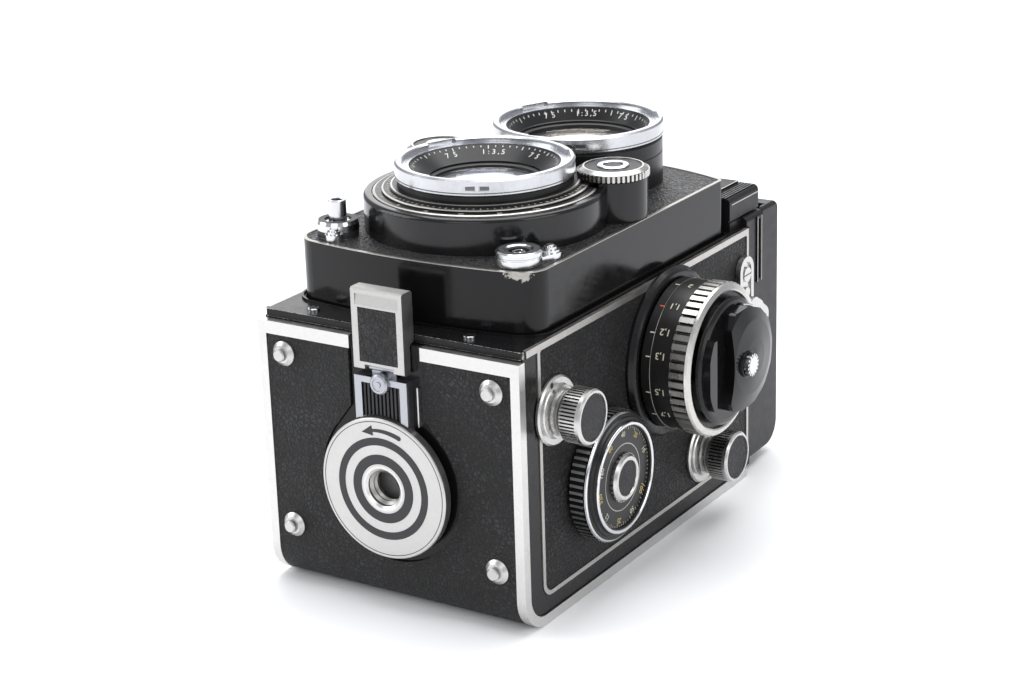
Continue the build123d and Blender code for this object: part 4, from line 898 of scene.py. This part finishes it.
def cone_marks(name, cy, r_in, z_in, marks):
    """figures and ticks on the tapered ring round the front glass"""
    dz, dr = 104.7 - z_in, 19.1 - r_in
    ln = math.hypot(dz, dr)
    r_m = r_in + dr * 0.50
    for i, (s, ang) in enumerate(marks):
        a = math.radians(ang)
        rt = Vector((math.sin(a), -math.cos(a), 0))
        up_ = Vector((math.cos(a) * dr / ln, math.sin(a) * dr / ln, dz / ln))
        o = Vector((r_m * math.cos(a), cy + r_m * math.sin(a), z_in + dz * 0.50))
        text("%s_figure_%d" % (name, i), s, 2.3, tuple(o), tuple(rt), tuple(up_), MAT["white_fill"], "lens_board", 0.03, 0.04)
    items = []
    for i in range(60):
        a = 2 * math.pi * i / 60
        cs = []
        for r in ((18.35, 18.75) if i % 5 else (17.9, 18.75)):
            z = z_in + dz * (r - r_in) / dr
            for g in (a - 0.006, a + 0.006):
                for e in (0.0, 0.05):
                    cs.append((r * math.cos(g), cy + r * math.sin(g), z + e))
        items.append(cs)
    boxes(name + "_ticks", items, MAT["white_fill"], "lens_board")


cone_marks("taking_cone", 0.0, 14.9, 101.6, (("7", 158.0), ("5", 150.0), ("1", 124.0), (":", 119.5), ("3", 115.0), (",", 110.5), ("5", 106.5), ("7", 78.0), ("5", 70.0), ("7", 20.0), ("5", 12.0), ("7", -100.0), ("5", -108.0)))
cone_marks("viewing_cone", 46.6, 16.9, 101.6, (("7", 150.0), ("5", 143.0), ("1", 121.0), (":", 117.0), ("3", 113.0), (",", 109.0), ("5", 105.5), ("7", 80.0), ("5", 73.0), ("7", -80.0), ("5", -87.0)))
MAT["inner_ring"] = silver("inner_ring_grey", (0.16, 0.16, 0.165), 0.32, None, 0.003, 0.3)


def coated(name, tint, spec):
    m = Mat(name)
    m.b.inputs["Transmission Weight"].default_value = 0.75
    m.b.inputs["IOR"].default_value = 1.75
    k = m.remap(m.noise(0.3, 3.0), 0.3, 0.8)
    m.b.inputs["Specular Tint"].default_value = (spec[0], spec[1], spec[2], 1.0)
    m.bump(m.noise(0.2, 1.0), 0.0002)
    return m.done(tint, m.math("ADD", 0.015, m.math("MULTIPLY", k, 0.02)), 0.0)


MAT["coat_a"] = coated("inner_glass_blue", (0.35, 0.38, 0.50), (0.55, 0.6, 1.0))
MAT["coat_b"] = coated("inner_glass_amber", (0.40, 0.34, 0.26), (1.0, 0.75, 0.4))
MAT["tube_black"] = plain("tube_black", (0.010, 0.010, 0.011), 0.45)
for nm, cy, r in (("taking", 0.0, 14.55), ("viewing", 46.6, 16.55)):
    c = (0.0, cy)
    lathe(nm + "_retainer", [(r, 101.25), (r, 100.9), (r - 0.9, 100.55), (r - 1.0, 98.6), (r, 98.4)], "z", c, MAT["tube_black"], "lens_board", 96, True)
    lathe(nm + "_inner_ring", [(r, 96.8), (r - 1.6, 96.6), (r - 2.4, 95.2), (r - 2.6, 93.0), (r, 93.0)], "z", c, MAT["inner_ring"], "lens_board", 96, True)
    prof = []
    ri = r - 2.7
    for k in range(9):
        q = ri * k / 8
        prof.append((max(q, 0.01), 92.2 + 2.6 * (q / ri) ** 2))
    prof += [(ri, 91.6), (0.01, 90.6)]
    lathe(nm + "_inner_glass", prof, "z", c, MAT["coat_a" if nm == "taking" else "coat_b"], "lens_board", 96, True)
    lathe(nm + "_dark_stop", [(0.01, 88.0), (r, 88.0), (r, 87.6), (0.01, 87.6)], "z", c, MAT["tube_black"], "lens_board", 48, True)
    # outside: entry lugs and the slot with its stop pin on each bright ring
    items = []
    for k, ang in enumerate((-62, 118, 28)):
        a = math.radians(ang)
        items.append(polar_box("z", c, 22.6, 22.9, a - 0.150, a + 0.150, 103.25, 104.75))
    boxes(nm + "_slot_floor", items, MAT["black_paint"], "lens_board")
    items = []
    for ang in (-62, 118):
        for g in (-0.078, 0.078):
            a = math.radians(ang) + g
            items.append(polar_box("z", c, 22.85, 23.08, a - 0.052, a + 0.052, 103.5, 104.5))
    boxes(nm + "_slot_blocks", items, MAT["inner_ring"], "lens_board")
    lathe(nm + "_ring_groove", [(23.17, 102.55), (23.26, 102.6), (23.26, 102.85), (23.17, 102.9)], "z", c, MAT["inner_ring"], "lens_board", 128, True)

# ---------------------------------------------------------------------------
# meter block and nameplate lines, and painted highlight lines on the hood frame beads
# ---------------------------------------------------------------------------
boxes("plate_edge_lines", [plain_box(-29.75, -29.45, 71.4, 83.85, 83.05, 83.16), plain_box(29.45, 29.75, 71.4, 83.85, 83.05, 83.16), plain_box(-29.75, 29.75, 83.62, 83.85, 83.05, 83.16)], MAT["thin_trim"], "body")
boxes("block_edge_lines", [plain_box(-35.75, -35.35, 68.2, 84.3, 80.5, 80.8), plain_box(35.45, 35.75, 68.2, 84.3, 80.5, 80.8)], MAT["thin_trim"], "body")
# thin silver lines along the hood frame beads: painted highlights, not real trim
for s in (-1, 1):
    x0, x1 = sorted((s * 37.73, s * 37.86))
    boxes("bead_highlight_line_%s" % ("r" if s > 0 else "l"), [plain_box(x0, x1, 79.85, 80.15, 55.6, 74.5), plain_box(x0, x1, 82.25, 82.55, 55.6, 74.5)], MAT["thin_trim"], "body")
